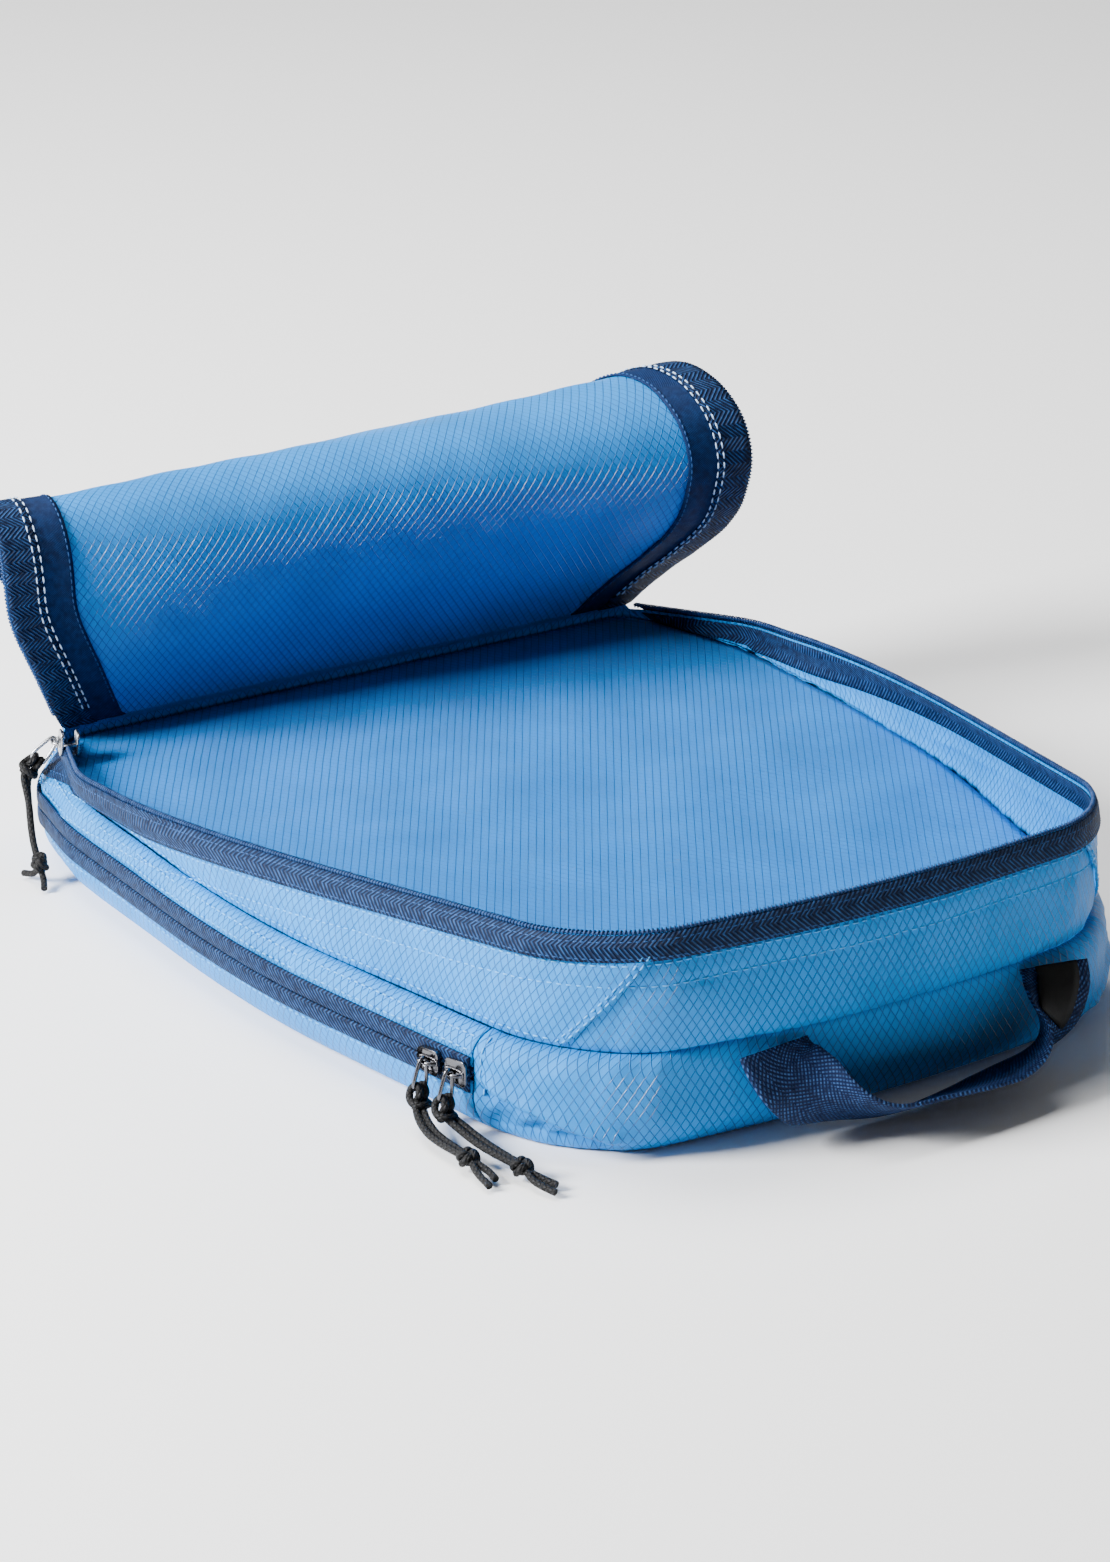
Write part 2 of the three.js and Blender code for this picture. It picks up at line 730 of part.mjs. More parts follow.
const innerPlateFace = -fabric - 3 * clearance - coilDepth; // faces the coil
const bridgeHeight = sliderOuterFace + sliderPlate + 2 * wireRadius + bridgeRadius + bailRoom;

function box(lengths, centre) {
  return new THREE.BoxGeometry(...lengths).translate(...centre);
}

function sliderBody(lipSide) {
  const outer = plate(shieldShape(), sliderPlate, sliderOuterFace);
  const inner = plate(shieldShape(), sliderPlate, innerPlateFace - sliderPlate);
  const postRise = sliderOuterFace + sliderPlate - innerPlateFace + sliderPlate / 2;
  const postMiddle = innerPlateFace - sliderPlate / 2 + postRise / 2;
  const postPlace = sliderLength / 2 - postLength / 2 - flangeWidth / 2;
  const post = box([postLength, postWidth, postRise - sliderPlate / 2], [postPlace, 0, postMiddle - sliderPlate / 4]);
  const lip = coilDepth + clearance;
  const lipPlace = sliderTailWidth / 2 - flangeWidth / 2;
  const flange = box(
    [sliderLength - 2 * flangeWidth, flangeWidth, lip + sliderPlate / 2],
    [0, lipSide * lipPlace, innerPlateFace + lip / 2 - sliderPlate / 4],
  );
  const foot = sliderOuterFace + sliderPlate / 2;
  const half = bridgeSpan / 2;
  const arch = new THREE.CatmullRomCurve3(
    [
      [-half, foot],
      [-half, lerp(foot, bridgeHeight, 0.65)],
      [-0.68 * half, bridgeHeight],
      [0, bridgeHeight],
      [0.68 * half, bridgeHeight],
      [half, lerp(foot, bridgeHeight, 0.65)],
      [half, foot],
    ].map(([x, z]) => new THREE.Vector3(x, 0, z)),
  );
  return joined(outer, inner, post, flange, tube(arch, bridgeRadius, 8, 14));
}

// The bail is a wire loop round the bridge, wider where the cord hangs.
function bailLoop() {
  const small = bridgeRadius + clearance + wireRadius;
  const loop = [];
  const arc = (centre, radius, from, to, count) => {
    for (let k = 0; k <= count; k++) {
      const angle = lerp(from, to, k / count) * degree;
      loop.push([centre + radius * Math.sin(angle), radius * Math.cos(angle)]);
    }
  };
  arc(0, small, -170, -10, 6);
  arc(bailLength, bailEndRadius, 5, 175, 7);
  return loop;
}

// Down the bail, in the slider's frame.
function bailAxis(tilt) {
  return new THREE.Vector3(0, -Math.cos(tilt * degree), Math.sin(tilt * degree));
}

function bail(tilt) {
  const down = bailAxis(tilt);
  const chain = new THREE.Vector3(1, 0, 0);
  const side = down.clone().cross(chain);
  const loop = bailLoop().map(([along, across]) =>
    new THREE.Vector3(0, 0, bridgeHeight).addScaledVector(down, along).addScaledVector(side, across),
  );
  return loopTube(loop, chain, wireRadius, 6);
}

// A slider's frame on the wall, with +X towards the front of the bag.
function sliderFrame(station, level) {
  const along = wallAlong(station, level).normalize();
  const normal = wallNormal(station, level);
  const across = normal.clone().cross(along);
  return new THREE.Matrix4().makeBasis(along, across, normal).setPosition(wallPoint(station, level));
}

// The left station of a straight stretch at a distance behind the front datum.
function leftStationAt(plan, stretch, y) {
  const keys = Object.keys(plan);
  const [a, b] = [plan[keys[stretch]], plan[keys[stretch + 1]]];
  return -(stretch + (y - a[1]) / (b[1] - a[1]));
}

const rearSliderPlace = lowerSliderPlace + sliderLength + sliderParkGap;
const lowerFrames = [rearSliderPlace, lowerSliderPlace].map((y) =>
  sliderFrame(leftStationAt(plans.zip, 2, y), levelAt(zipHeight)),
);
const topStation = leftStationAt(plans.rim, 5, plans.rim.rear[1] - topSliderInset);
const topFrame = sliderFrame(topStation, levelBelowRim(topStation, 0));
topFrame.multiply(new THREE.Matrix4().makeTranslation(0, chainHalf + clearance / 2, 0));

// Cord pulls: one cord, doubled over the bail, knotted, with two short tails.
// Each route runs down the middle of the doubled cord, from the bail to the tails.
const cordRoutes = {
  rear: {
    run: [[-129.5, 54, 6.6], [-132.2, 42, 3.8]],
    knot: [-131, 22, 4],
    tails: [[[-132.5, 14, 2.6], [-133, 6, 1.6]], [[-129, 14.5, 2.4], [-129, 9, 1.6]]],
  },
  front: {
    run: [[-124.4, 43, 6.6], [-122.8, 29, 3.8]],
    knot: [-120.5, 8, 4],
    tails: [[[-121, 0, 2.6], [-118.5, -8, 1.6]], [[-118, 1.5, 2.4], [-115.5, -4, 1.6]]],
  },
  top: {
    run: [[-140, 300, 25], [-143.5, 291, 15]],
    knot: [-144.5, 285, 7.5],
    tails: [[[-145.5, 288, 3], [-147, 293, 1.6]], [[-145, 281.5, 3.2], [-147, 277, 1.6]]],
  },
};

function cordPull(frame, tilt, { run, knot, tails }) {
  const down = bailAxis(tilt);
  const hang = new THREE.Vector3(0, 0, bridgeHeight)
    .addScaledVector(down, bailLength + bailEndRadius)
    .applyMatrix4(frame);
  const turnRadius = wireRadius + clearance + cordRadius;
  const rotation = new THREE.Matrix4().extractRotation(frame);
  const axis = down.clone().transformDirection(rotation);
  const chain = new THREE.Vector3(1, 0, 0).transformDirection(rotation);
  const at = ([x, y, z]) => new THREE.Vector3(x, y, z);
  const centre = [...run, knot].map(at);
  const strand = (side) => {
    const spread = cordRadius + clearance / 2;
    return centre.map((p, i) => {
      const from = i ? centre[i - 1] : hang;
      const to = centre[Math.min(i + 1, centre.length - 1)];
      const along = to.clone().sub(from).normalize();
      const across = along.clone().cross(new THREE.Vector3(1, 0, 0.2)).normalize();
      return p.clone().addScaledVector(across, side * spread);
    });
  };
  const around = [180, 135, 90, 45, 0].map((angle) => {
    const turn = angle * degree;
    return hang
      .clone()
      .addScaledVector(chain, turnRadius * Math.cos(turn))
      .addScaledVector(axis, -turnRadius * Math.sin(turn));
  });
  const facing = Math.sign(chain.dot(strand(1)[0].clone().sub(strand(-1)[0]))) || 1;
  const first = strand(-facing);
  const second = strand(facing);
  const points = [
    ...tails[0].map(at).reverse(),
    ...first.slice().reverse(),
    ...around,
    ...second,
    ...tails[1].map(at),
  ];
  const curve = new THREE.CatmullRomCurve3(points, false, "centripetal");
  const steps = Math.round(curve.getLength() / (2.2 * cordRadius));
  const lump = new THREE.SphereGeometry(1, 10, 8).scale(...knotRadii);
  const aim = new THREE.Vector3().subVectors(centre[centre.length - 1], centre[centre.length - 2]);
  const turned = new THREE.Quaternion().setFromUnitVectors(new THREE.Vector3(0, 0, 1), aim.normalize());
  lump.applyQuaternion(turned).translate(...knot);
  return joined(tube(curve, cordRadius, 8, steps), lump);
}

// Assembly
const bag = new THREE.Group();

bag.add(
  piece("base_panel", floorSheet(0, clearance, 0), blueCloth),
  piece("base_side_left", baseSide(-1), blueCloth),
  piece("base_side_right", baseSide(1), blueCloth),
  piece("base_rear", baseRear(), blueCloth),
  piece("lower_zip_tape_base", lowerZipBand(bandBottom, zipHeight - chainHalf - coilReach, skinFaces), navyTape),
  piece("lower_zip_coil_base", lowerZipBand(zipHeight - chainHalf - coilWidth, zipHeight - chainHalf, coilFaces), navyCoil),
);

bag.add(
  piece("front_panel_lower", frontPanelLower(), blueCloth),
  piece("front_panel_upper", frontPanelUpper(), blueCloth),
  piece("side_panel_left_upper", sidePanelUpper(-1), blueCloth),
  piece("side_panel_right_upper", sidePanelUpper(1), blueCloth),
  piece("side_panel_left_lower", sidePanelLower(-1), blueCloth),
  piece("side_panel_right_lower", sidePanelLower(1), blueCloth),
  piece("rear_panel", rearPanel(), blueCloth),
  piece("divider_panel", floorSheet(1, fabric + 3 * clearance, seamHeight - fabric - clearance), blueInside),
  piece("lower_zip_tape_wall", lowerZipBand(zipHeight + chainHalf + coilReach, bandTop, skinFaces), navyTape),
  piece("lower_zip_coil_wall", lowerZipBand(zipHeight + chainHalf, zipHeight + chainHalf + coilWidth, coilFaces), navyCoil),
  piece("rim_zip_tape", rimZipBand(rimTapeWidth, coilReach, skinFaces), navyTape),
  piece("rim_zip_coil", rimZipBand(coilWidth, 0, coilFaces), navyCoil),
);

bag.add(
  piece("lid_panel", lidPanel(), blueInside),
  piece("lid_zip_tape", lidTape(), navyTape),
  piece("lid_zip_coil", lidCoil(), navyCoil),
);

bag.add(piece("handle_strap", strap(), navyStrap), piece("size_label", label(), blackCord));

const sliders = [
  ["lower_rear", lowerFrames[0], 1, lowerBailTilt, darkMetal, cordRoutes.rear],
  ["lower_front", lowerFrames[1], 1, lowerBailTilt, darkMetal, cordRoutes.front],
  ["top", topFrame, -1, topBailTilt, brightMetal, cordRoutes.top],
];
const cords = new THREE.Group();
for (const [name, frame, lipSide, tilt, color, route] of sliders) {
  const holder = new THREE.Group();
  holder.applyMatrix4(frame);
  holder.add(piece("slider_" + name, sliderBody(lipSide), color, 0.35, 0.9));
  holder.add(piece("bail_" + name, bail(tilt), brightMetal, 0.3, 0.9));
  bag.add(holder);
  cords.add(piece("pull_cord_" + name, cordPull(frame, tilt, route), blackCord));
}

// The origin is under the middle of the bag, without its cords.
const extent = new THREE.Box3().setFromObject(bag, true);
const middle = extent.getCenter(new THREE.Vector3());
const part = new THREE.Group();
part.add(bag, cords);
bag.position.set(-middle.x, -middle.y, -extent.min.z);
cords.position.copy(bag.position);

export default part;
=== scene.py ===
# %% [markdown]
# # A soft packing cube, open at the top
# The bag is two shallow compartments of ripstop cloth stacked on each other. The top
# zip is open and its lid is rolled back; the lower zip is closed, with both sliders at
# the front left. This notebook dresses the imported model, which fixes every size.

import json
import math

import bpy
import numpy as np
from mathutils import Matrix, Vector

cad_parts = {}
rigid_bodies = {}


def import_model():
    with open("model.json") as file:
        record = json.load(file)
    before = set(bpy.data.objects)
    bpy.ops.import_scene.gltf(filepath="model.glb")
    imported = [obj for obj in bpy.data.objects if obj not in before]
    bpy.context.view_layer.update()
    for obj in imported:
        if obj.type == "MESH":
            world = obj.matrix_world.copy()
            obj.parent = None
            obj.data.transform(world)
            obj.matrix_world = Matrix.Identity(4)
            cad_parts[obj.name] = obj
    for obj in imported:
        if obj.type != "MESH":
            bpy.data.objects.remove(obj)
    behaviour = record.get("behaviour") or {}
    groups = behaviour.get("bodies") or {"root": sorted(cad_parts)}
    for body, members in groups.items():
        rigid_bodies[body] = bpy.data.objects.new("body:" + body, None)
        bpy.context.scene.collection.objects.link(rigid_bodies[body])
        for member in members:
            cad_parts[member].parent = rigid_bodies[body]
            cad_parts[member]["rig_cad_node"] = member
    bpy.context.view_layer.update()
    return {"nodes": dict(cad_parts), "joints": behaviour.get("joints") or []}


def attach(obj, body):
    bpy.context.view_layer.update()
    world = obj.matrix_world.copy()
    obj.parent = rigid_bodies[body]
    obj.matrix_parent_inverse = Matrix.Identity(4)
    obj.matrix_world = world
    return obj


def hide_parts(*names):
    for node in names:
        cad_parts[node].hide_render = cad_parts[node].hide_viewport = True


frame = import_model()
bpy.ops.object.select_all(action="DESELECT")

# %% [markdown]
# ## One place for sizes
# The bag was measured in millimetres from a datum near the middle of its front wall.
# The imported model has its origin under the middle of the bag, so the first joint, whose
# place behind the datum is known, gives the shift between the two. Outlines are shares
# of the bag's half width and length, as in the model.

# %% sizes and the shift
MM = 0.001
lift_joint = next(j for j in frame["joints"] if j["name"] == "main_compartment_lift")
datum = -7.2 - lift_joint["pos_m"][1] / MM


def metres(points):
    placed = np.array(points, float)
    placed[..., 1] -= datum
    return placed * MM


SEAM_Z = 34.5
ZIP_Z = 20.0
BAND = 6.0
RIM_FRONT = SEAM_Z + 41
RIM_REAR = SEAM_Z + 4
SWELL = 2.0
HALF_WIDTH = 139.5
LENGTH = 329.0
print("datum", round(datum, 3))

# %% [markdown]
# ## Camera
# The photo was taken from the front left, about 22 degrees above the bag, with a long
# lens. A camera can be turned by hand until the edges agree. Here its place and its
# three angles were fitted to the bag's outlines, and the matrix is built from them.

# %% camera
FILM_SIZE, FOCAL_PIXELS, PHOTO_HEIGHT = 36, 4882, 1562
CAMERA_PLACE = (-797.5, -1112.6, 670.2)
yaw, pitch, roll = math.radians(31.61), math.radians(22.46), math.radians(-0.39)
ahead = Vector((math.sin(yaw) * math.cos(pitch), math.cos(yaw) * math.cos(pitch), -math.sin(pitch)))
level = Vector((math.cos(yaw), -math.sin(yaw), 0.0))
above = level.cross(ahead)
right = level * math.cos(roll) + above * math.sin(roll)
up = above * math.cos(roll) - level * math.sin(roll)
camera_data = bpy.data.cameras.new("camera")
camera_data.sensor_width = FILM_SIZE
camera_data.lens = FILM_SIZE * FOCAL_PIXELS / PHOTO_HEIGHT
camera = bpy.data.objects.new("camera", camera_data)
bpy.context.scene.collection.objects.link(camera)
place = metres(CAMERA_PLACE)
turn = Matrix((right, up, -ahead)).transposed().to_4x4()
camera.matrix_world = Matrix.Translation(Vector(place)) @ turn
bpy.context.scene.camera = camera
print("lens", round(camera_data.lens, 1), "mm")

# %% [markdown]
# ## Floor and light
# A soft lamp on the left lights the side and the lid and leaves the front wall in
# gentle shade. Area lamps do this best, since their size sets how soft a shadow is.
# The floor is pale and plain, and the surround adds a little light from everywhere.


# %% floor and light
def add_lamp(name, position, size, watts):
    lamp = bpy.data.lights.new(name, "AREA")
    lamp.shape = "RECTANGLE"
    lamp.size, lamp.size_y = size
    lamp.energy = watts
    holder = bpy.data.objects.new(name, lamp)
    bpy.context.scene.collection.objects.link(holder)
    holder.location = position
    aim = LAMP_TARGET - Vector(position)
    holder.rotation_mode = "QUATERNION"
    holder.rotation_quaternion = aim.to_track_quat("-Z", "Y")
    return holder


LAMP_TARGET = Vector((0, 0, 0.04))
FLOOR_SIZE, FLOOR_DROP = 8, 0.0004
add_lamp("key_left", (-1.5, 0.42, 0.92), (0.6, 0.7), 120)
add_lamp("top_soft", (-0.1, 0.8, 1.8), (1.2, 0.9), 52)
add_lamp("front_fill", (1.3, -1.5, 0.7), (0.9, 0.9), 0.5)
world = bpy.data.worlds.new("studio")
bpy.context.scene.world = world
world.use_nodes = True
sky = world.node_tree.nodes["Background"]
sky.inputs["Color"].default_value = (1.0, 1.0, 1.0, 1.0)
sky.inputs["Strength"].default_value = 0.13
bpy.ops.mesh.primitive_plane_add(size=FLOOR_SIZE, location=(0, 0, -FLOOR_DROP))
floor = bpy.context.object
floor.name = "floor"

# %% [markdown]
# ## Materials
# Each finish is made of shader nodes. Cloth, tape, webbing and cord read the piece's
# own UV map, which is in metres. On the walls its second direction is height, so the
# grid is drawn out a little where a wall curls under at the floor. Generated coordinates
# would do for a box but not for curved cloth. A small class keeps the wiring readable.


# %% a helper for shader nodes
class Finish:
    def __init__(self, name, colour, roughness, metallic=0.0, specular=0.5):
        self.material = bpy.data.materials.new(name)
        self.material.use_nodes = True
        self.tree = self.material.node_tree
        self.shader = self.tree.nodes["Principled BSDF"]
        self.shader.inputs["Base Color"].default_value = (*colour, 1)
        self.shader.inputs["Roughness"].default_value = roughness
        self.shader.inputs["Metallic"].default_value = metallic
        self.shader.inputs["Specular IOR Level"].default_value = specular

    def node(self, kind, **settings):
        made = self.tree.nodes.new(kind)
        for key, value in settings.items():
            setattr(made, key, value)
        return made

    def feed(self, socket, value):
        if isinstance(value, bpy.types.NodeSocket):
            self.tree.links.new(value, socket)
        else:
            socket.default_value = value

    def math(self, operation, first, second=0.0, third=0.0):
        made = self.node("ShaderNodeMath", operation=operation)
        for socket, value in zip(made.inputs, (first, second, third)):
            self.feed(socket, value)
        return made.outputs[0]

    def band(self, value, low, high):
        made = self.node("ShaderNodeMapRange", interpolation_type="SMOOTHSTEP")
        self.feed(made.inputs["Value"], value)
        made.inputs["From Min"].default_value = low
        made.inputs["From Max"].default_value = high
        return made.outputs["Result"]

    def uv(self):
        source = self.node("ShaderNodeUVMap")
        split = self.node("ShaderNodeSeparateXYZ")
        self.feed(split.inputs[0], source.outputs[0])
        return split.outputs[0], split.outputs[1]

    def cloud(self, scale, detail=3.0, roughness=0.5):
        source = self.node("ShaderNodeTexCoord")
        made = self.node("ShaderNodeTexNoise")
        made.inputs["Scale"].default_value = scale
        made.inputs["Detail"].default_value = detail
        made.inputs["Roughness"].default_value = roughness
        self.feed(made.inputs["Vector"], source.outputs["Object"])
        return made.outputs["Fac"]

    def mix(self, share, first, second):
        made = self.node("ShaderNodeMix", data_type="RGBA")
        self.feed(made.inputs["Factor"], share)
        self.feed(made.inputs["A"], (*first, 1) if isinstance(first, tuple) else first)
        self.feed(made.inputs["B"], (*second, 1) if isinstance(second, tuple) else second)
        return made.outputs["Result"]

    def blend(self, share, first, second):
        made = self.node("ShaderNodeMix", data_type="FLOAT")
        self.feed(made.inputs["Factor"], share)
        self.feed(made.inputs["A"], first)
        self.feed(made.inputs["B"], second)
        return made.outputs["Result"]

    def colour(self, value):
        self.feed(self.shader.inputs["Base Color"], value)

    def roughness(self, value):
        self.feed(self.shader.inputs["Roughness"], value)

    def bump(self, height, depth, strength=1.0, into="Normal"):
        made = self.node("ShaderNodeBump")
        made.inputs["Strength"].default_value = strength
        made.inputs["Distance"].default_value = depth
        self.feed(made.inputs["Height"], height)
        self.feed(self.shader.inputs[into], made.outputs["Normal"])


print("helper ready")

# %% [markdown]
# Ripstop is a thin plain weave with thicker yarns worked in as a grid. Here the grid is
# a lattice of tall diamonds about 3 mm wide. It could be an image, but two folded ramps
# of the UV map give it at any distance. The yarns are darker than the ground, and they
# are raised and coated, so they glint where the light grazes and look dark in shade.


# %% ripstop cloth
THREAD_PITCH = 0.55
YARN_BUMP, COAT_BUMP = 0.00042, 0.0011


def ripstop(name, ground, yarn, cell=(3.1, 5.0), satin=0.5):
    finish = Finish(name, ground, satin, specular=0.15)
    u, v = finish.uv()
    across = finish.math("MULTIPLY", u, 1 / (cell[0] * MM))
    along = finish.math("MULTIPLY", v, 1 / (cell[1] * MM))
    rising = finish.math("PINGPONG", finish.math("ADD", across, along), 0.5)
    falling = finish.math("PINGPONG", finish.math("SUBTRACT", across, along), 0.5)
    nearest = finish.math("MINIMUM", rising, falling)
    lattice = finish.math("SUBTRACT", 1.0, finish.band(nearest, 0.02, 0.075))
    thread_u = finish.math("SINE", finish.math("MULTIPLY", u, 2 * math.pi / (THREAD_PITCH * MM)))
    thread_v = finish.math("SINE", finish.math("MULTIPLY", v, 2 * math.pi / (THREAD_PITCH * MM)))
    weave = finish.math("MULTIPLY", thread_u, thread_v)
    wear = finish.cloud(38.0)
    ground_mix = finish.mix(finish.band(wear, 0.3, 0.75), ground, tuple(0.84 * c for c in ground))
    finish.colour(finish.mix(finish.math("MULTIPLY", lattice, 0.85), ground_mix, yarn))
    finish.roughness(finish.blend(lattice, satin, 0.3))
    finish.feed(finish.shader.inputs["Coat Weight"], lattice)
    finish.shader.inputs["Coat Roughness"].default_value = 0.22
    height = finish.math("MULTIPLY_ADD", weave, 0.10, lattice)
    crinkle = finish.math("MULTIPLY", finish.cloud(110.0, 3.0), 0.8)
    finish.bump(finish.math("ADD", height, crinkle), YARN_BUMP)
    raised = finish.math("SUBTRACT", 1.0, finish.band(nearest, 0.0, 0.13))
    finish.bump(finish.math("ADD", raised, crinkle), COAT_BUMP, into="Coat Normal")
    return finish.material


CLOTH = ripstop("ripstop_blue", (0.001, 0.25, 0.72), (0.0005, 0.085, 0.35))
# The divider's cloth is the same ripstop with its ground painted darker: painted shade for the inside of the
# bag.
CLOTH_PAINTED_SHADE = ripstop("ripstop_inside_painted_shade", (0.002, 0.165, 0.53), (0.001, 0.085, 0.33), satin=0.55)
print(CLOTH.name, CLOTH_PAINTED_SHADE.name)

# %% [markdown]
# Zip tape and webbing are both woven in a herringbone: fine slanting ribs that turn
# back every few millimetres. The webbing's ribs are coarser and broken into beads. One
# coordinate folded back and forth and added to the other gives the zigzag. Braided cord
# and sewing thread are two slanting ramps that cross, with painted shade between strands.


# %% woven and twisted finishes
def herringbone(name, ground, light, rib, turn_width, depth, beads=False, shine=0.62):
    finish = Finish(name, ground, shine, specular=0.15)
    u, v = finish.uv()
    zigzag = finish.math("PINGPONG", v, turn_width * MM)
    slant = finish.math("MULTIPLY", finish.math("ADD", u, zigzag), 2 * math.pi / (rib * MM))
    ribs = finish.band(finish.math("SINE", slant), -0.6, 0.9)
    if beads:
        counter = finish.math("MULTIPLY", finish.math("SUBTRACT", u, zigzag), 2 * math.pi / (rib * MM))
        ribs = finish.math("MULTIPLY", ribs, finish.band(finish.math("SINE", counter), -1.2, 0.4))
    fuzz = finish.cloud(420.0, 3.0)
    finish.colour(finish.mix(finish.math("MULTIPLY", ribs, finish.band(fuzz, 0.2, 0.8)), ground, light))
    finish.bump(finish.math("MULTIPLY_ADD", fuzz, 0.35, ribs), depth)
    return finish.material


def twist(name, ground, light, pitch, around, depth, shine=0.6):
    finish = Finish(name, ground, shine, specular=0.2)
    u, v = finish.uv()
    step = finish.math("MULTIPLY", u, 1 / (pitch * MM))
    turns = finish.math("MULTIPLY", v, around)
    one = finish.math("PINGPONG", finish.math("ADD", step, turns), 0.5)
    other = finish.math("PINGPONG", finish.math("SUBTRACT", step, turns), 0.5)
    strands = finish.band(finish.math("MINIMUM", one, other), 0.02, 0.30)
    # Painted shade: the lines between strands take the darker ground colour, and the strands take the
    # lighter one.
    finish.colour(finish.mix(strands, ground, light))
    finish.bump(finish.math("MULTIPLY_ADD", finish.cloud(600.0), 0.3, strands), depth)
    return finish.material


print("woven finishes ready")

# %% [markdown]
# The sliders are nickel-plated metal and the zip teeth are nylon. Neither has a weave,
# so noise alone gives them a surface: fine scuffs in the metal's gloss, soft mottling in
# the nylon's colour. The floor's gloss varies too, at a much larger scale.


# %% metal, nylon and the list of finishes
def metal(name, colour, roughness):
    finish = Finish(name, colour, roughness, metallic=1.0)
    scuffs = finish.cloud(900.0, 6.0, 0.7)
    finish.roughness(finish.blend(finish.band(scuffs, 0.35, 0.8), roughness, roughness + 0.12))
    finish.bump(finish.cloud(350.0, 2.0), 0.00002, 0.4)
    return finish.material


def nylon(name, colour, light):
    finish = Finish(name, colour, 0.45, specular=0.3)
    finish.colour(finish.mix(finish.band(finish.cloud(300.0), 0.35, 0.7), colour, light))
    finish.bump(finish.cloud(900.0, 2.0), 0.00004, 0.5)
    return finish.material


ZIP_TAPE = herringbone("tape_navy", (0.0004, 0.005, 0.026), (0.018, 0.085, 0.255), 1.75, 4.8, 0.0006)
BINDING = herringbone("binding_navy", (0.001, 0.010, 0.050), (0.008, 0.045, 0.165), 0.8, 40.0, 0.0002)
WEBBING = herringbone("webbing_navy", (0.0008, 0.007, 0.040), (0.055, 0.15, 0.40), 1.6, 6.25, 0.0005, True)
COIL = nylon("coil_navy", (0.004, 0.024, 0.095), (0.016, 0.062, 0.19))
CORD = twist("cord_black", (0.0012, 0.0012, 0.0014), (0.011, 0.011, 0.012), 2.2, 4.0, 0.00025)
PALE_THREAD = twist("thread_pale", (0.22, 0.36, 0.58), (0.50, 0.64, 0.86), 0.7, 1.0, 0.00006)
BLUE_THREAD = twist("thread_blue", (0.03, 0.27, 0.68), (0.09, 0.42, 0.86), 0.7, 1.0, 0.00006)
NAVY_THREAD = twist("thread_navy", (0.006, 0.035, 0.13), (0.022, 0.085, 0.25), 0.7, 1.0, 0.00006)
LABEL = herringbone(
    "label_black", (0.0015, 0.0015, 0.0018), (0.008, 0.008, 0.009), 0.5, 60.0, 0.00008, shine=0.5,
)
DARK_METAL = metal("slider_dark", (0.115, 0.115, 0.125), 0.2)
BRIGHT_METAL = metal("slider_bright", (0.42, 0.43, 0.45), 0.24)
PALE_FLOOR = Finish("floor_pale", (0.95, 0.95, 0.95), 0.85)
PALE_FLOOR.roughness(PALE_FLOOR.blend(PALE_FLOOR.cloud(3.0), 0.78, 0.9))
floor.data.materials.append(PALE_FLOOR.material)
print("finishes", len(bpy.data.materials))

# %% [markdown]
# ## Tubes and cords
# Everything long and round, from coil thread to cord, is a tube mesh along a list of
# points. A curve with a bevel would be quicker, but its UV map would not run in metres
# along the tube, which the woven finishes need. A ring is carried along without twist.


# %% tube builder
def unit(vectors):
    return vectors / np.maximum(np.linalg.norm(vectors, axis=-1, keepdims=True), 1e-9)


def spline(points, share):
    points = np.asarray(points, float)
    last = len(points) - 1
    where = np.clip(share, 0, 1) * last
    at = np.minimum(np.floor(where).astype(int), last - 1)
    t = (where - at)[..., None]
    p0, p1, p2, p3 = (points[np.clip(at + k, 0, last)] for k in (-1, 0, 1, 2))
    start, end = (p2 - p0) / 2, (p3 - p1) / 2
    cubic = 2 * p1 - 2 * p2 + start + end
    square = -3 * p1 + 3 * p2 - 2 * start - end
    return cubic * t**3 + square * t**2 + start * t + p1


def distances(line):
    return np.concatenate([[0], np.cumsum(np.linalg.norm(np.diff(line, axis=0), axis=1))])


def along_table(where, run, table):
    return np.stack([np.interp(where, run, table[:, k]) for k in range(3)], -1)


def new_piece(name, verts, faces, uvs, material, body, round_=False):
    mesh = bpy.data.meshes.new(name)
    mesh.from_pydata([tuple(v) for v in verts], [], faces)
    layer = mesh.uv_layers.new(name="cloth")
    corner = np.zeros(len(mesh.loops), int)
    mesh.loops.foreach_get("vertex_index", corner)
    flat = np.asarray(uvs, float)[corner]
    if round_:
        quads = flat[: 4 * sum(len(face) == 4 for face in faces), 1].reshape(-1, 4)
        across_seam = np.ptp(quads, axis=1, keepdims=True) > 0.5
        quads += across_seam & (quads < 0.5)
    layer.data.foreach_set("uv", flat.ravel())
    mesh.polygons.foreach_set("use_smooth", np.full(len(mesh.polygons), True))
    mesh.materials.append(material)
    mesh.update()
    made = bpy.data.objects.new(name, mesh)
    bpy.context.scene.collection.objects.link(made)
    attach(made, body)
    return made


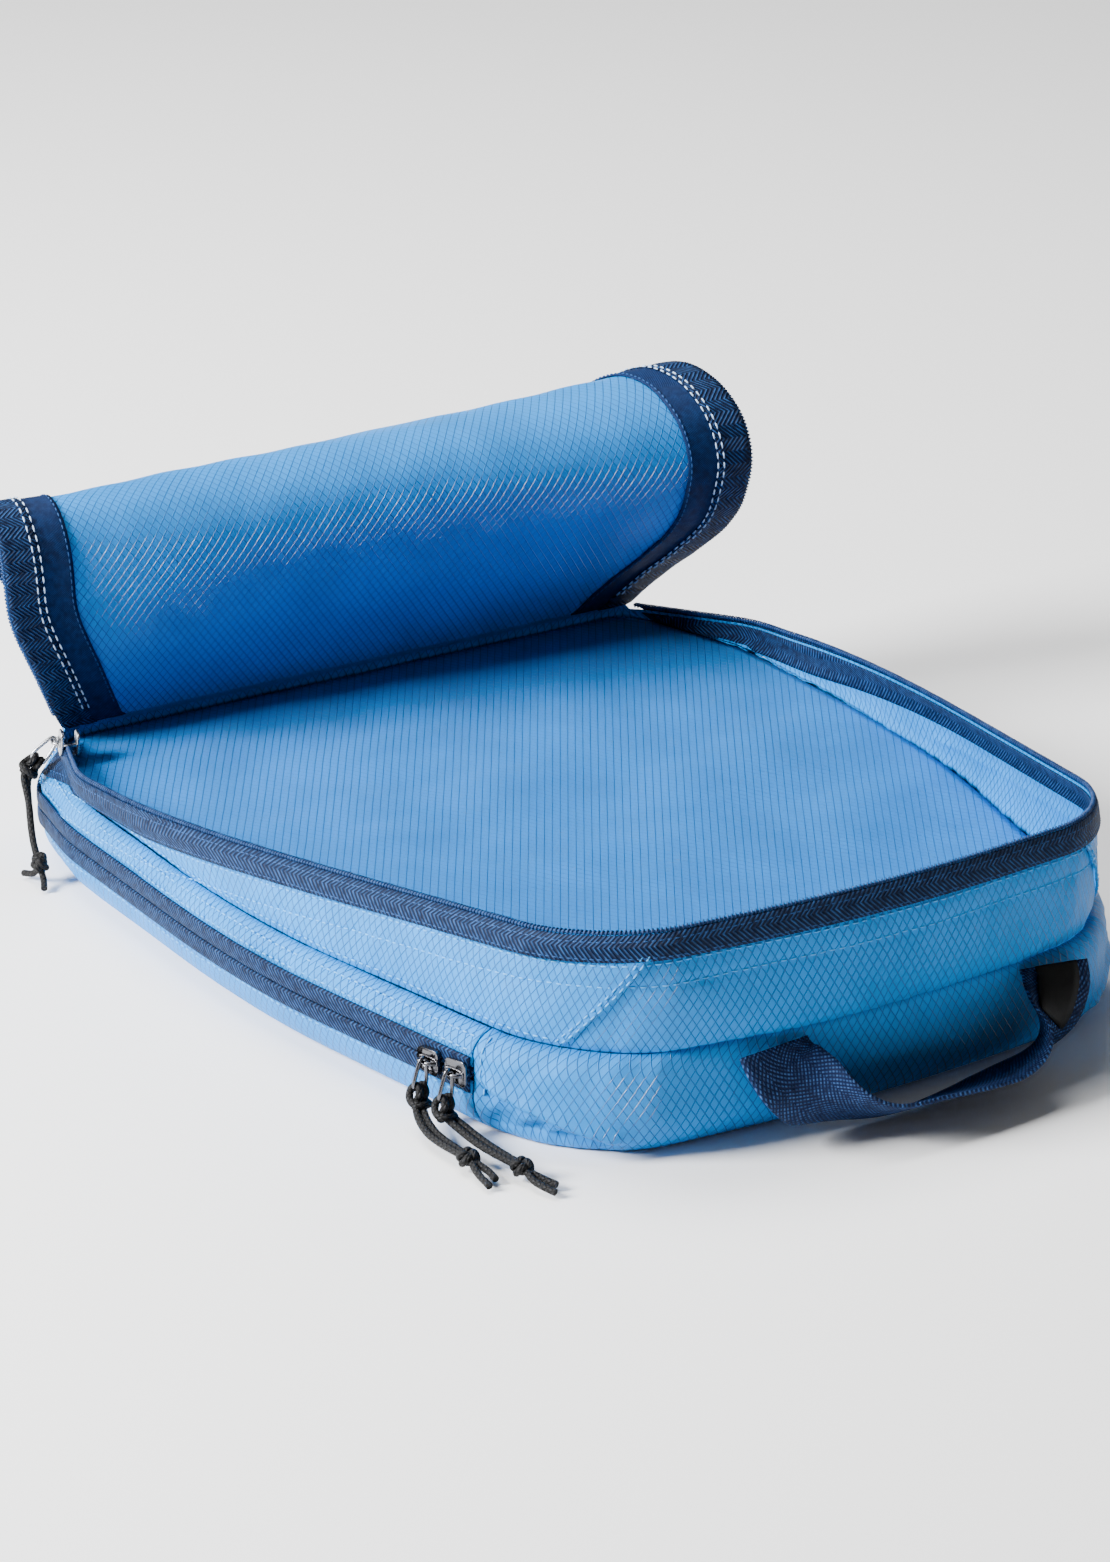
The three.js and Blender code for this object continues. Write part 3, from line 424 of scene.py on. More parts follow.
def tube_mesh(name, path, radius, sides, material, body, closed=False):
    path = np.asarray(path, float)
    ahead_ = np.roll(path, -1, 0) - np.roll(path, 1, 0)
    if not closed:
        ahead_[0], ahead_[-1] = path[1] - path[0], path[-1] - path[-2]
    ahead_ = unit(ahead_)
    tilt = np.zeros_like(path)
    guide = np.array([0.0, 0.0, 1.0]) if abs(ahead_[0][2]) < 0.9 else np.array([1.0, 0.0, 0.0])
    for i, along in enumerate(ahead_):
        guide = guide - along * np.dot(guide, along)
        guide = guide / max(np.linalg.norm(guide), 1e-9)
        tilt[i] = guide
    side = np.cross(ahead_, tilt)
    angle = np.linspace(0, 2 * math.pi, sides, endpoint=False)
    ring = tilt[:, None, :] * np.cos(angle)[None, :, None] + side[:, None, :] * np.sin(angle)[None, :, None]
    verts = metres(path[:, None, :] + ring * radius)
    n = len(path)
    at = np.arange(n * sides).reshape(n, sides)
    nxt = np.roll(at, -1, 1)
    rows = at if closed else at[:-1]
    ahead_rows = np.roll(at, -1, 0) if closed else at[1:]
    nxt_ahead = np.roll(nxt, -1, 0) if closed else nxt[1:]
    faces = np.stack([rows, ahead_rows, nxt_ahead, nxt[: len(rows)]], -1).reshape(-1, 4)[:, ::-1].tolist()
    if not closed:
        faces += [at[0].tolist(), at[-1][::-1].tolist()]
    uv = np.stack([np.repeat(distances(path) * MM, sides), np.tile(angle / (2 * math.pi), n)], -1)
    return new_piece(name, verts.reshape(-1, 3), faces, uv, material, body, round_=sides > 4)


print("tube builder ready")

# %% [markdown]
# Each pull is one black braided cord, doubled and hitched to the slider's wire bail: the
# doubled end goes through the bail, and both strands pass through their own loop. The
# two strands lie side by side down to an overhand knot and end in two short cut tails.
# Their routes are those of the model, in millimetres from the datum. The sliders' axes
# are worked out from the joints of the frame and the model's tilts.

# %% cord routes
CORD_RADIUS = 1.2
CORD_SPREAD = 1.25
EASING_ROUNDS = 160
CORD_ROUTES = {
    "lower_rear": {
        "run": [(-129.5, 54, 6.6), (-132.2, 42, 3.8)],
        "knot": (-131, 22, 4),
        "tails": [[(-132.5, 14, 2.6), (-133, 6, 1.6)], [(-129, 14.5, 2.4), (-129, 9, 1.6)]],
    },
    "lower_front": {
        "run": [(-124.4, 43, 6.6), (-122.8, 29, 3.8)],
        "knot": (-120.5, 8, 4),
        "tails": [[(-121, 0, 2.6), (-118.5, -8, 1.6)], [(-118, 1.5, 2.4), (-115.5, -4, 1.6)]],
    },
    "top": {
        "run": [(-140, 300, 25), (-143.5, 291, 15)],
        "knot": (-144.5, 285, 7.5),
        "tails": [[(-145.5, 288, 3), (-147, 293, 1.6)], [(-145, 281.5, 3.2), (-147, 277, 1.6)]],
    },
}
TILTS = {"lower_rear": 12, "lower_front": 12, "top": 38}
BRIDGE_HEIGHT = 4.85
JOINTS = {joint["name"]: joint for joint in frame["joints"]}


def in_millimetres(place):
    return np.array(place) / MM + [0, datum, 0]


def slider_axes(which):
    bail, pull = JOINTS[f"bail_{which}_swing"], JOINTS[f"pull_{which}_swing"]
    bridge, hang = in_millimetres(bail["pos_m"]), in_millimetres(pull["pos_m"])
    along, down, wire = -np.array(bail["axis"]), unit(hang - bridge), np.array(pull["axis"])
    tilt = math.radians(TILTS[which])
    across = wire * math.sin(tilt) - down * math.cos(tilt)
    off = wire * math.cos(tilt) + down * math.sin(tilt)
    return {
        "along": along, "across": across, "off": off, "bridge": bridge,
        "hang": hang, "down": down, "wire": wire, "origin": bridge - off * BRIDGE_HEIGHT,
    }


AXES = {which: slider_axes(which) for which in CORD_ROUTES}
print({which: AXES[which]["origin"].round(1).tolist() for which in AXES})

# %% [markdown]
# A limp cord takes no sharp bend, so each strand's points are smoothed until the
# tightest turn is wide enough. This moves them by up to 2.4 mm off the route, which the
# model keeps, and shortens the strand. The hitch follows listed points, and the
# knot is two loops by a formula.


# %% cords
def resampled(points, count):
    dense = spline(points, np.linspace(0, 1, 600))
    run = distances(dense)
    return along_table(np.linspace(0, run[-1], count), run, dense)


def eased(points, smallest=5.0):
    for _ in range(EASING_ROUNDS):
        step = np.diff(points, axis=0)
        turn_ = np.linalg.norm(np.diff(unit(step), axis=0), axis=1)
        if np.linalg.norm(step, axis=1)[:-1].min() / turn_.max() > smallest:
            break
        points[1:-1] += 0.35 * (points[:-2] + points[2:] - 2 * points[1:-1])
    return points


def hitch_points(axes):
    half = [
        (0.7, -1.25, 5.6), (1.1, -1.25, 2.6), (1.85, -1.2, 0), (0, -1.2, -1.9), (-1.95, -1.5, 0),
        (-1.3, -2.3, 2.4), (0.9, -2.9, 3.5), (3.0, -2.2, 3.6), (3.75, 0, 3.5),
    ]
    whole = half + [(x, -y, z) for x, y, z in half[-2::-1]]
    basis = np.array([axes["along"], axes["wire"], axes["down"]])
    return np.array(whole) @ basis + axes["hang"]


def knot_points(centre, ahead_, lift, size, count=60):
    side = unit(np.cross(ahead_, lift))
    t = np.linspace(0, 2 * math.pi, count, endpoint=False)
    x = size * (np.sin(t) + 2 * np.sin(2 * t)) * 0.92
    y = size * (np.cos(t) - 2 * np.cos(2 * t)) * 1.05
    z = -1.3 * np.sin(3 * t)
    return centre + np.outer(x, side) + np.outer(y, ahead_) + np.outer(z, lift)


def pull(which):
    route, axes, body = CORD_ROUTES[which], AXES[which], "pull_" + which
    knot = np.array(route["knot"], float)
    hitch = hitch_points(axes)
    name = "pull_" + which
    parts = [tube_mesh(name + "_hitch", resampled(hitch, 90), 1.2, 12, CORD, body)]
    last_run = unit(knot - np.array(route["run"][-1]))
    lift = np.array([0, 0, 1.0]) if which != "top" else -np.array([1.0, 0, 0])
    lift = unit(lift - last_run * lift.dot(last_run))
    for number, (size, turn_) in enumerate(((0.95, 0.0), (0.80, 1.0))):
        twisted = unit(last_run * math.cos(turn_) + np.cross(lift, last_run) * math.sin(turn_))
        loop = knot_points(knot + lift * 0.5 * (number - 0.5), twisted, lift, size)
        tied = tube_mesh(f"{name}_knot_{number}", loop, 1.15, 12, CORD, body, closed=True)
        parts.append(tied)
    strands = []
    for number, (side, tail) in enumerate(zip((-1, 1), route["tails"])):
        start = hitch[1] if side < 0 else hitch[-2]
        centre = [np.array(p, float) for p in route["run"]]
        across = unit(np.cross(knot - start, lift))
        sign = np.sign((start - axes["hang"]).dot(across)) or side
        spread = across * sign * CORD_SPREAD
        leaving = hitch[0] if side < 0 else hitch[-1]
        points = [start, leaving, *(p + spread for p in centre), knot + spread * 0.5]
        direct = resampled(points, 36)
        path = eased(direct.copy())
        moved = float(np.linalg.norm(path - direct, axis=1).max())
        print("eased off the route by", round(moved, 2), "mm")
        strand = tube_mesh(f"{name}_strand_{number}", path, CORD_RADIUS, 12, CORD, body)
        strands.append((strand, path))
        ends = resampled([knot + spread * 0.4, *(np.array(p, float) for p in tail)], 14)
        cut = tube_mesh(f"{name}_tail_{number}", ends, CORD_RADIUS * 0.96, 12, CORD, body)
        parts.append(cut)
    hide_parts("pull_cord_" + which)
    for number, (strand, path) in enumerate(strands):
        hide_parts("pull_cord_" + which)
        real = metres(path)


for which in CORD_ROUTES:
    pull(which)

# %% [markdown]
# ## The bag's surface
# The walls follow four outlines: on the floor, at the lower zip, at the middle seam and
# at the rim. A point of the wall has a station, from 0 at the front centre to 8 at the
# rear centre, and a level: 0 on the floor, 1 at the middle seam, 2 at the rim. The
# outlines are the model's own, given as shares of its size. Walls could be pulled up
# from a box, but a surface by formula lets every seam, tape and stitch lie on it.

# %% outline shares
PLAN_SHARES = {
    "rim": [
        (0, -0.026), (0.516, -0.009), (0.753, 0.097), (0.867, 0.334),
        (0.986, 0.717), (0.961, 0.836), (0.842, 0.973), (0.803, 0.98),
    ],
    "seam": [
        (0, -0.036), (0.516, -0.012), (0.789, 0.116), (0.91, 0.347),
        (0.971, 0.653), (0.957, 0.836), (0.875, 0.948), (0.789, 0.985),
    ],
    "zip": [
        (0, -0.033), (0.545, -0.015), (0.839, 0.116), (0.95, 0.353),
        (1, 0.653), (0.996, 0.836), (0.961, 0.927), (0.789, 1),
    ],
    "base": [
        (0, 0.006), (0.53, 0.015), (0.774, 0.116), (0.875, 0.353),
        (0.925, 0.653), (0.921, 0.827), (0.889, 0.906), (0.738, 0.97),
    ],
}
PLANS = {name: np.array(shares) * [HALF_WIDTH, LENGTH] for name, shares in PLAN_SHARES.items()}
RIM_BACK = PLANS["rim"][-1][1]
RIM_FACE = PLANS["rim"][0][1]
print("rim from", round(RIM_FACE, 1), "to", round(RIM_BACK, 1), "mm")

# %% [markdown]
# Each outline is a chain of Bezier curves, as a pen tool would draw it. A running mean,
# taken twice, rounds it a little where two curves meet. The table then gives a point for
# any station, and its running length gives the way back.


# %% outlines
def bezier(points, share):
    layers = [np.outer(np.ones_like(share), point) for point in points]
    while len(layers) > 1:
        pairs = zip(layers[:-1], layers[1:])
        layers = [a * (1 - share[:, None]) + b * share[:, None] for a, b in pairs]
    return layers[0]


def half_outline(plan):
    middle, flat, corner, side, belly, shoulder, haunch, rear = (np.array(p, float) for p in plan)
    side_run = (side - corner) * 0.4
    belly_run = np.array([0, (belly[1] - side[1]) / 3])
    bend = np.array([0.55 * flat[0] + 0.45 * corner[0], 0.92 * flat[1] + 0.08 * corner[1]])
    rear_bend = np.array([(haunch[0] + rear[0]) / 2, 0.1 * haunch[1] + 0.9 * rear[1]])
    return [
        [middle, (flat[0] / 2, middle[1]), 0.8 * flat + 0.2 * middle, flat],
        [flat, bend, corner - side_run / 2, corner],
        [corner, side],
        [side, side + side_run, belly - belly_run, belly],
        [belly, 0.6 * belly + 0.4 * shoulder, shoulder - (haunch - shoulder) * 0.3, shoulder],
        [shoulder, haunch],
        [haunch, rear_bend, rear],
        [rear, (0, rear[1])],
    ]


MARKS = np.linspace(-8, 8, 1601)


def outline_table(plan):
    share = np.linspace(0, 1, 101)
    half = np.vstack([bezier(run, share)[:-1] for run in half_outline(plan)] + [[0, plan[-1][1]]])
    whole = np.vstack([(half * [-1, 1])[::-1], half[1:]])
    for _ in range(2):
        ring = np.vstack([whole[-10:-1], whole, whole[1:10]])
        whole = np.stack([np.convolve(ring[:, k], np.ones(19) / 19, "valid") for k in (0, 1)], 1)
    return whole


TABLES = {name: outline_table(plan) for name, plan in PLANS.items()}


def plan_point(name, station):
    wrapped = (np.asarray(station, float) + 8) % 16 - 8
    table = TABLES[name]
    return np.stack([np.interp(wrapped, MARKS, table[:, k]) for k in (0, 1)], -1)


GIRTH = distances(TABLES["seam"])


def run_of(station):
    station = np.asarray(station, float)
    laps = np.floor((station + 8) / 16)
    return np.interp(station - 16 * laps, MARKS, GIRTH) + laps * GIRTH[-1]


def station_at(run):
    laps = np.floor(np.asarray(run, float) / GIRTH[-1])
    return np.interp(run - laps * GIRTH[-1], GIRTH, MARKS) + 16 * laps


print("girth at the middle seam", round(GIRTH[-1]), "mm")

# %% [markdown]
# Between the outlines the wall curls up from the floor, stands upright at the lower zip,
# eases over to the middle seam and runs straight up to the sloping rim. The normal comes
# from small steps both ways, and cloth, tape and stitches are offset along it.


# %% walls
def rim_height(y):
    return RIM_FRONT + (RIM_REAR - RIM_FRONT) * (y - RIM_FACE) / (RIM_BACK - RIM_FACE)


def wall(station, level):
    station, level = np.broadcast_arrays(np.asarray(station, float), np.asarray(level, float))
    seam, rim, zip_, base = (plan_point(name, station) for name in ("seam", "rim", "zip", "base"))
    share = (level - 1)[..., None]
    top = rim_height(rim[..., 1])[..., None]
    upper = np.concatenate([seam + (rim - seam) * share, SEAM_Z + (top - SEAM_Z) * share], -1)
    z = np.clip(level, 0, 1)[..., None] * SEAM_Z
    rise = 1 - np.clip(z / (ZIP_Z - BAND), 0, 1)
    curl = base + (zip_ - base) * np.sqrt(1 - rise**2)
    ease = np.clip((z - ZIP_Z - BAND) / (SEAM_Z - ZIP_Z - BAND), 0, 1) ** 2
    low = np.where(z < ZIP_Z - BAND, curl, zip_ + (seam - zip_) * ease)
    return np.where(share > 0, upper, np.concatenate([low, z], -1))


def wall_normal(station, level):
    step = 0.006
    at = np.minimum(level, 2 - step)
    along = wall(station + step, at) - wall(station - step, at)
    rising = wall(station, at + step) - wall(station, np.maximum(at - step, 0))
    return unit(np.cross(along, rising))


def wall_height(station, level):
    rise = rim_height(plan_point("rim", station)[..., 1]) - SEAM_Z
    return np.where(level > 1, SEAM_Z + (level - 1) * rise, level * SEAM_Z)


def level_at(station, z):
    rise = rim_height(plan_point("rim", station)[..., 1]) - SEAM_Z
    return np.where(z > SEAM_Z, 1 + (z - SEAM_Z) / rise, z / SEAM_Z)


def below_rim(station, drop):
    return level_at(station, rim_height(plan_point("rim", station)[..., 1]) - drop)


print("front rim", wall(np.array(0.0), np.array(2.0)).round(1))

# %% [markdown]
# Cloth under its own tension is never quite smooth. A few sine waves of fixed but
# irregular phase make a repeatable unevenness, and a finer set makes the puckers that
# thread pulls into cloth on both sides of a seam. Noise textures would do as well, but
# sine waves need no other tool and come out the same in every run.

# %% unevenness and puckers
dice = np.random.default_rng(11)
WAVES = dice.uniform(0, 1, (64, 3))


def uneven(u, v, scale, first=0, count=7):
    total = np.zeros(np.broadcast(u, v).shape)
    for turn_share, phase, stretch in WAVES[first : first + count]:
        angle = 2 * math.pi * turn_share
        wave = (u * math.cos(angle) + v * math.sin(angle)) / (scale * (0.6 + 0.9 * stretch))
        total += np.sin(2 * math.pi * (wave + phase))
    return total / math.sqrt(count)


def puckers(u, distance, reach, pitch, first=20):
    wave = uneven(u, 0.25 * distance, pitch, first, 5)
    return wave * np.exp(-np.abs(distance) / reach)


def bump_line(value, middle, width):
    return np.exp(-(((value - middle) / width) ** 2))


def window(value, low, high, soft):
    return 1 / (1 + np.exp(-(value - low) / soft)) / (1 + np.exp((value - high) / soft))


print("spread of the unevenness", uneven(np.arange(400.0), 0, 60).std().round(2))

# %% [markdown]
# The real lower wall has too much cloth near the front corners, and folds over in one
# slanting lip with small creases about it. Sculpting could give this by hand. Here each
# crease is a smooth ridge or groove with its own place, width and depth. They are
# shallower than the real ones, and no cloth folds over itself.


# %% creases at the front corners
def corner_creases(station, z):
    reach = np.abs(station)
    run = run_of(reach) - run_of(0)
    strength = np.where(station < 0, 1.0, 0.7)
    rising = 5.5 + 4.0 * np.clip(reach - 1.0, 0, 1)
    ridge = bump_line(z, rising, 1.8) - 0.8 * bump_line(z, rising + 4.2, 2.2)
    ridge = ridge * window(reach, 1.08, 1.86, 0.03)
    dimple = -1.1 * bump_line(run, run_of(1.42) - run_of(0), 3.0) * bump_line(z, 12.0, 2.2)
    slant = run - (run_of(1.9) - run_of(0)) + 0.55 * (z - 8)
    pleat = 1.1 * bump_line(slant, -1.6, 1.3) - 1.2 * bump_line(slant, 0.6, 1.1)
    pleat = pleat * window(z, 3, 13, 0.9)
    second = 0.7 * bump_line(slant, -8.0, 2.2) - 0.6 * bump_line(slant, -4.6, 1.8)
    second = second * window(z, 11, 22, 1.6)
    drawn = -0.7 * bump_line(run + 1.1 * (z - 34), run_of(1.55) - run_of(0), 3.0) * window(z, 22, 33, 1.5)
    along = np.clip((run_of(1.98) - run_of(0) - run) / (run_of(1.98) - run_of(1.3)), -0.2, 1.2)
    fold = 17.5 - 12.5 * np.clip(along, 0, 1) ** 0.85
    held = window(along, 0.03, 0.97, 0.035)
    deep = -3.2 * bump_line(z, fold - 0.4, 1.5) + 2.6 * bump_line(z, fold + 3.2, 2.4)
    gusset = 0.7 * uneven(run, z * 1.2, 9.0, 33) - 3.6
    gusset = gusset * np.clip((fold - z) / 2.5, 0, 1) * np.clip(z / 3, 0, 1)
    knuckle = 1.8 * bump_line(run, run_of(1.28) - run_of(0), 2.6) * bump_line(z, 7.5, 2.2)
    small = 0.35 * (ridge + dimple + pleat + second)
    return strength * (small + drawn + (deep + gusset) * held + knuckle)


print("deepest crease", corner_creases(np.full(30, -1.5), np.linspace(1, 30, 30)).min().round(1), "mm")

# %% [markdown]
# All the unevenness is added up in one function of station and level: the valley at the
# middle seam, puckers along seams and tapes, broad waves, the hem and the creases. Under
# the lower zip's tape it is held down, so that no cloth comes through the tape.


# %% drape and skin
ZIP_END = 2.03


def drape(station, level):
    u, z = run_of(station), wall_height(station, level)
    rim = rim_height(plan_point("rim", station)[..., 1])
    tuck = -0.85 * np.exp(-(((z - SEAM_Z) / 1.7) ** 2))
    seam = 0.16 * puckers(u, z - SEAM_Z, 6.0, 9.0)
    tape = 0.20 * puckers(u, rim - 17.5 - z, 3.5, 6.0, 30) * (rim > 55)
    broad = 0.6 * uneven(u, z * 1.4, 60.0) * np.clip((z - 2) / 12, 0, 1)
    broad = broad + 0.22 * uneven(u, z * 0.5, 17.0, 9) * np.clip((z - 2) / 12, 0, 1)
    above, below = puckers(u, z - ZIP_Z - 8, 4.0, 8.0, 40), puckers(u, z - ZIP_Z + 8, 4.0, 8.0, 45)
    lower_zip = 0.10 * above + 0.10 * below
    near_rim = np.clip((rim - z) / 10, 0, 1)
    hem = 0.3 * np.sin(math.pi * np.clip((rim - z - 9) / 8, 0, 1)) - 0.45 * bump_line(rim - z, 17.3, 0.9)
    hem = hem * (rim > 58)
    creases = corner_creases(station, z) * (z < SEAM_Z - 1)
    total = (tuck + seam + tape + broad + hem) * near_rim + lower_zip + creases
    under_tape = (np.abs(z - ZIP_Z) < BAND + 1.2) & (np.abs(station) > ZIP_END)
    return np.where(under_tape, np.minimum(total, 0.25), total)


def skin(station, level, offset=0.0, calm=False):
    station, level = np.broadcast_arrays(np.asarray(station, float), np.asarray(level, float))
    rise = rim_height(plan_point("rim", station)[..., 1]) - SEAM_Z
    fullness = SWELL * rise / (RIM_FRONT - SEAM_Z)
    swell = np.where(level > 1, fullness * np.sin(math.pi * np.clip(level - 1, 0, 1)), 0)
    if not calm:
        swell = swell + drape(station, level)
    return wall(station, level) + wall_normal(station, level) * (offset + swell)[..., None]


print("front centre at the seam", skin(np.array(0.0), np.array(1.0)).round(1))

# %% [markdown]
# ## Sheets of cloth
# A sheet is a grid of points for its outer face and one for its inner face, closed round
# the border. A plane with a Solidify modifier would give much the same, but here both
# faces are known exactly. Each builder gives the UV map in metres: on a wall it runs
# along the girth of the middle seam and up in height.


# %% sheet builder
def sheet(name, outer, inner, material, body, uv):
    n, m = outer.shape[:2]
    outer, inner = metres(outer), metres(inner)
    verts = np.concatenate([outer.reshape(-1, 3), inner.reshape(-1, 3)])
    uvs = np.concatenate([(uv * MM).reshape(-1, 2)] * 2)
    at = np.arange(n * m).reshape(n, m)
    a, b, c, d = at[:-1, :-1], at[1:, :-1], at[1:, 1:], at[:-1, 1:]
    front = np.stack([a, b, c, d], -1).reshape(-1, 4)
    back = front[:, ::-1] + n * m
    rim = np.concatenate([at[:, 0], at[-1, 1:], at[-2::-1, -1], at[0, -2:0:-1]])
    after = np.roll(rim, -1)
    side = np.stack([after, rim, rim + n * m, after + n * m], -1)
    faces = np.concatenate([front, back, side])
    i, j = n // 2, m // 2
    here, ahead_, beside = outer[i, j], outer[i + 1, j], outer[i, j + 1]
    if np.dot(np.cross(ahead_ - here, beside - here), here - inner[i, j]) < 0:
        faces = faces[:, ::-1]
    return new_piece(name, verts, faces.tolist(), uvs, material, body)


CLOTH_THICK = 0.5


def wall_uv(stations, levels):
    u = run_of(stations) + np.zeros_like(levels)
    return np.stack([u, wall_height(stations, levels)], -1)


def even_stations(first, last, step=1.6):
    low, high = run_of(first), run_of(last)
    return station_at(np.linspace(low, high, max(2, int(round((high - low) / step)) + 1)))


def wall_sheet(name, first, last, rows, body, node):
    stations = even_stations(first, last)[:, None]
    levels = rows(stations)
    grid = skin(stations + 0 * levels, levels)
    back = skin(stations + 0 * levels, levels, -CLOTH_THICK)
    made = sheet(name, grid, back, CLOTH, body, wall_uv(stations, levels))
    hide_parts(node)
    print(name, len(made.data.polygons), "faces")


def rows_between(low, high, count):
    shares = np.linspace(0, 1, count)[None, :]
    return lambda stations: low(stations) + (high(stations) - low(stations)) * shares


print("sheet builder ready")

# %% [markdown]
# ## Lower walls and base
# The front wall is one cloth from the floor up to the middle seam, and it wraps both
# front corners. Behind them the lower zip divides the wall: a band below it belongs to
# the base, and a narrow strip above it hangs from the middle seam.

# %% lower walls
REAR_SEAM = 6.3
SEAM_GAP = 0.01
REAR_GAP = 0.004
BELOW_SEAM = 34.42


def height(z):
    return lambda stations: level_at(stations, np.full_like(stations, float(z)))


def floor_rows(top, count=26):
    z = top * (1 - np.cos(np.linspace(0, math.pi / 2, count)))[None, :]
    return lambda stations: level_at(stations, z + 0 * stations)


left_side = (-REAR_SEAM, -ZIP_END - SEAM_GAP)
right_side = (ZIP_END + SEAM_GAP, REAR_SEAM)
rear_side = (REAR_SEAM + REAR_GAP, 16 - REAR_SEAM - REAR_GAP)
wall_sheet("front_wall_lower", -ZIP_END, ZIP_END, floor_rows(BELOW_SEAM, 34), "main", "front_panel_lower")
below_zip = floor_rows(ZIP_Z - 2.4)
wall_sheet("base_band_left", *left_side, below_zip, "base", "base_side_left")
wall_sheet("base_band_right", *right_side, below_zip, "base", "base_side_right")
wall_sheet("base_band_rear", *rear_side, below_zip, "base", "base_rear")
above_zip = rows_between(height(ZIP_Z + 2.4), height(BELOW_SEAM), 12)
wall_sheet("side_strip_left", *left_side, above_zip, "main", "side_panel_left_lower")
wall_sheet("side_strip_right", *right_side, above_zip, "main", "side_panel_right_lower")
rear_rows = rows_between(height(ZIP_Z + 2.4), lambda s: below_rim(s, 0.5), 16)
wall_sheet("rear_wall", *rear_side, rear_rows, "main", "rear_panel")

# %% [markdown]
# The floor of the bag and the divider between its compartments are flat sheets cut to
# the outline. Rings of points from the centre to the border leave room for soft waves.


# %% base sheet and divider
FLAT_THICK = 0.6


def flat_sheet(name, level, inset, z, wave, material, body, node):
    stations = even_stations(-8, 8, 4.0)[:-1]
    border = wall(stations, np.full_like(stations, level))
    outward = wall_normal(stations, np.full_like(stations, max(level, 0.45)))
    outward[:, 2] = 0
    border = border - unit(outward) * inset
    centre = np.array([0.0, 150.0, 0.0])
    shares = np.linspace(0.02, 1, 46)
    grid = centre + (border[:, None, :] - centre) * shares[None, :, None]
    fade = np.clip((1 - shares) * 8, 0, 1)[None, :]
    lift = wave * uneven(grid[..., 0], grid[..., 1], 75.0, 8) * fade
    lift += 0.35 * wave * uneven(grid[..., 0], grid[..., 1], 26.0, 50) * fade
    grid[..., 2] = z + lift
    n, m = grid.shape[:2]
    top, under = metres(grid), metres(grid - [0, 0, FLAT_THICK])
    at = np.arange(n * m).reshape(n, m)
    after = np.roll(at, -1, 0)
    up_faces = np.stack([at[:, :-1], at[:, 1:], after[:, 1:], after[:, :-1]], -1).reshape(-1, 4)
    down_faces = up_faces[:, ::-1] + n * m
    side = np.stack([at[:, -1], at[:, -1] + n * m, after[:, -1] + n * m, after[:, -1]], -1)
    hub = [list(map(int, at[:, 0][::-1])), list(map(int, at[:, 0] + n * m))]
    verts = np.concatenate([top.reshape(-1, 3), under.reshape(-1, 3)])
    faces = [*up_faces.tolist(), *down_faces.tolist(), *side.tolist(), *hub]
    made = new_piece(name, verts, faces, verts[:, :2], material, body)
    bpy.ops.object.select_all(action="DESELECT")
    bpy.context.view_layer.objects.active = made
    made.select_set(True)
    bpy.ops.object.mode_set(mode="EDIT")
    bpy.ops.mesh.select_all(action="SELECT")
    bpy.ops.mesh.normals_make_consistent(inside=False)
    bpy.ops.object.mode_set(mode="OBJECT")
    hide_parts(node)
    return made


base_sheet = flat_sheet("base_sheet", 0.0, 0.1, 0.7, 0.0, CLOTH, "base", "base_panel")
divider = flat_sheet("divider_sheet", 1.0, 1.9, 34.0, 0.55, CLOTH_PAINTED_SHADE, "main", "divider_panel")
print(base_sheet.name, divider.name)

# %% [markdown]
# ## Upper walls
# Above the middle seam the side walls lap round the front corners. Each flap's folded
# edge slants down over the front wall, so the flap stands a little proud there and the
# front wall slips in under it.

# %% upper walls
FLAP_TOP, FLAP_BOTTOM = 1.06, 1.6


def flap_station(level):
    return FLAP_BOTTOM + (FLAP_TOP - FLAP_BOTTOM) * np.clip(level - 1, 0, 1)


def over_seam(station):
    return 1 + 0.06 / (rim_height(plan_point("rim", station)[..., 1]) - SEAM_Z)


upper_rows = rows_between(over_seam, lambda s: below_rim(s, 1.8), 26)


def front_upper():
    tuck_under = 0.045
    stations = even_stations(-FLAP_BOTTOM, FLAP_BOTTOM)[:, None]
    levels = upper_rows(stations)
    reach = np.abs(stations) + 0 * levels
    edge = flap_station(levels) + tuck_under
    stretched = np.where(reach > 0.8, 0.8 + (reach - 0.8) * (edge - 0.8) / (FLAP_BOTTOM - 0.8), reach)
    warped = np.sign(stations) * stretched
    dip = -0.7 * np.clip((reach - 0.8) / (FLAP_BOTTOM - 0.8) * 12 - 11, 0, 1)
    grid = skin(warped, levels, dip)
    back = skin(warped, levels, dip - 0.5)
    made = sheet("front_wall_upper", grid, back, CLOTH, "main", wall_uv(warped, levels))
    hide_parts("front_panel_upper")
    return made


def side_upper(side, name, node):
    stations = even_stations(FLAP_BOTTOM, REAR_SEAM)[:, None]
    levels = upper_rows(stations)
    edge = flap_station(levels)
    share = np.clip((stations - FLAP_BOTTOM) / (2.0 - FLAP_BOTTOM), 0, 1)
    warped = np.where(stations < 2.0, edge + (2.0 - edge) * share, stations + 0 * levels)
    from_edge = run_of(warped) - run_of(edge)
    fold = np.exp(-((from_edge - 1.2) ** 2))
    proud = 0.75 * np.exp(-np.clip(from_edge, 0, None) / 5.0) + 0.25 * fold
    if side < 0:
        warped, levels, proud = (part[::-1] for part in (-warped, levels, proud))
    grid = skin(warped, levels, proud)
    back = skin(warped, levels, proud - 0.6)
    made = sheet(name, grid, back, CLOTH, "main", wall_uv(warped, levels))
    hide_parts(node)
    return made


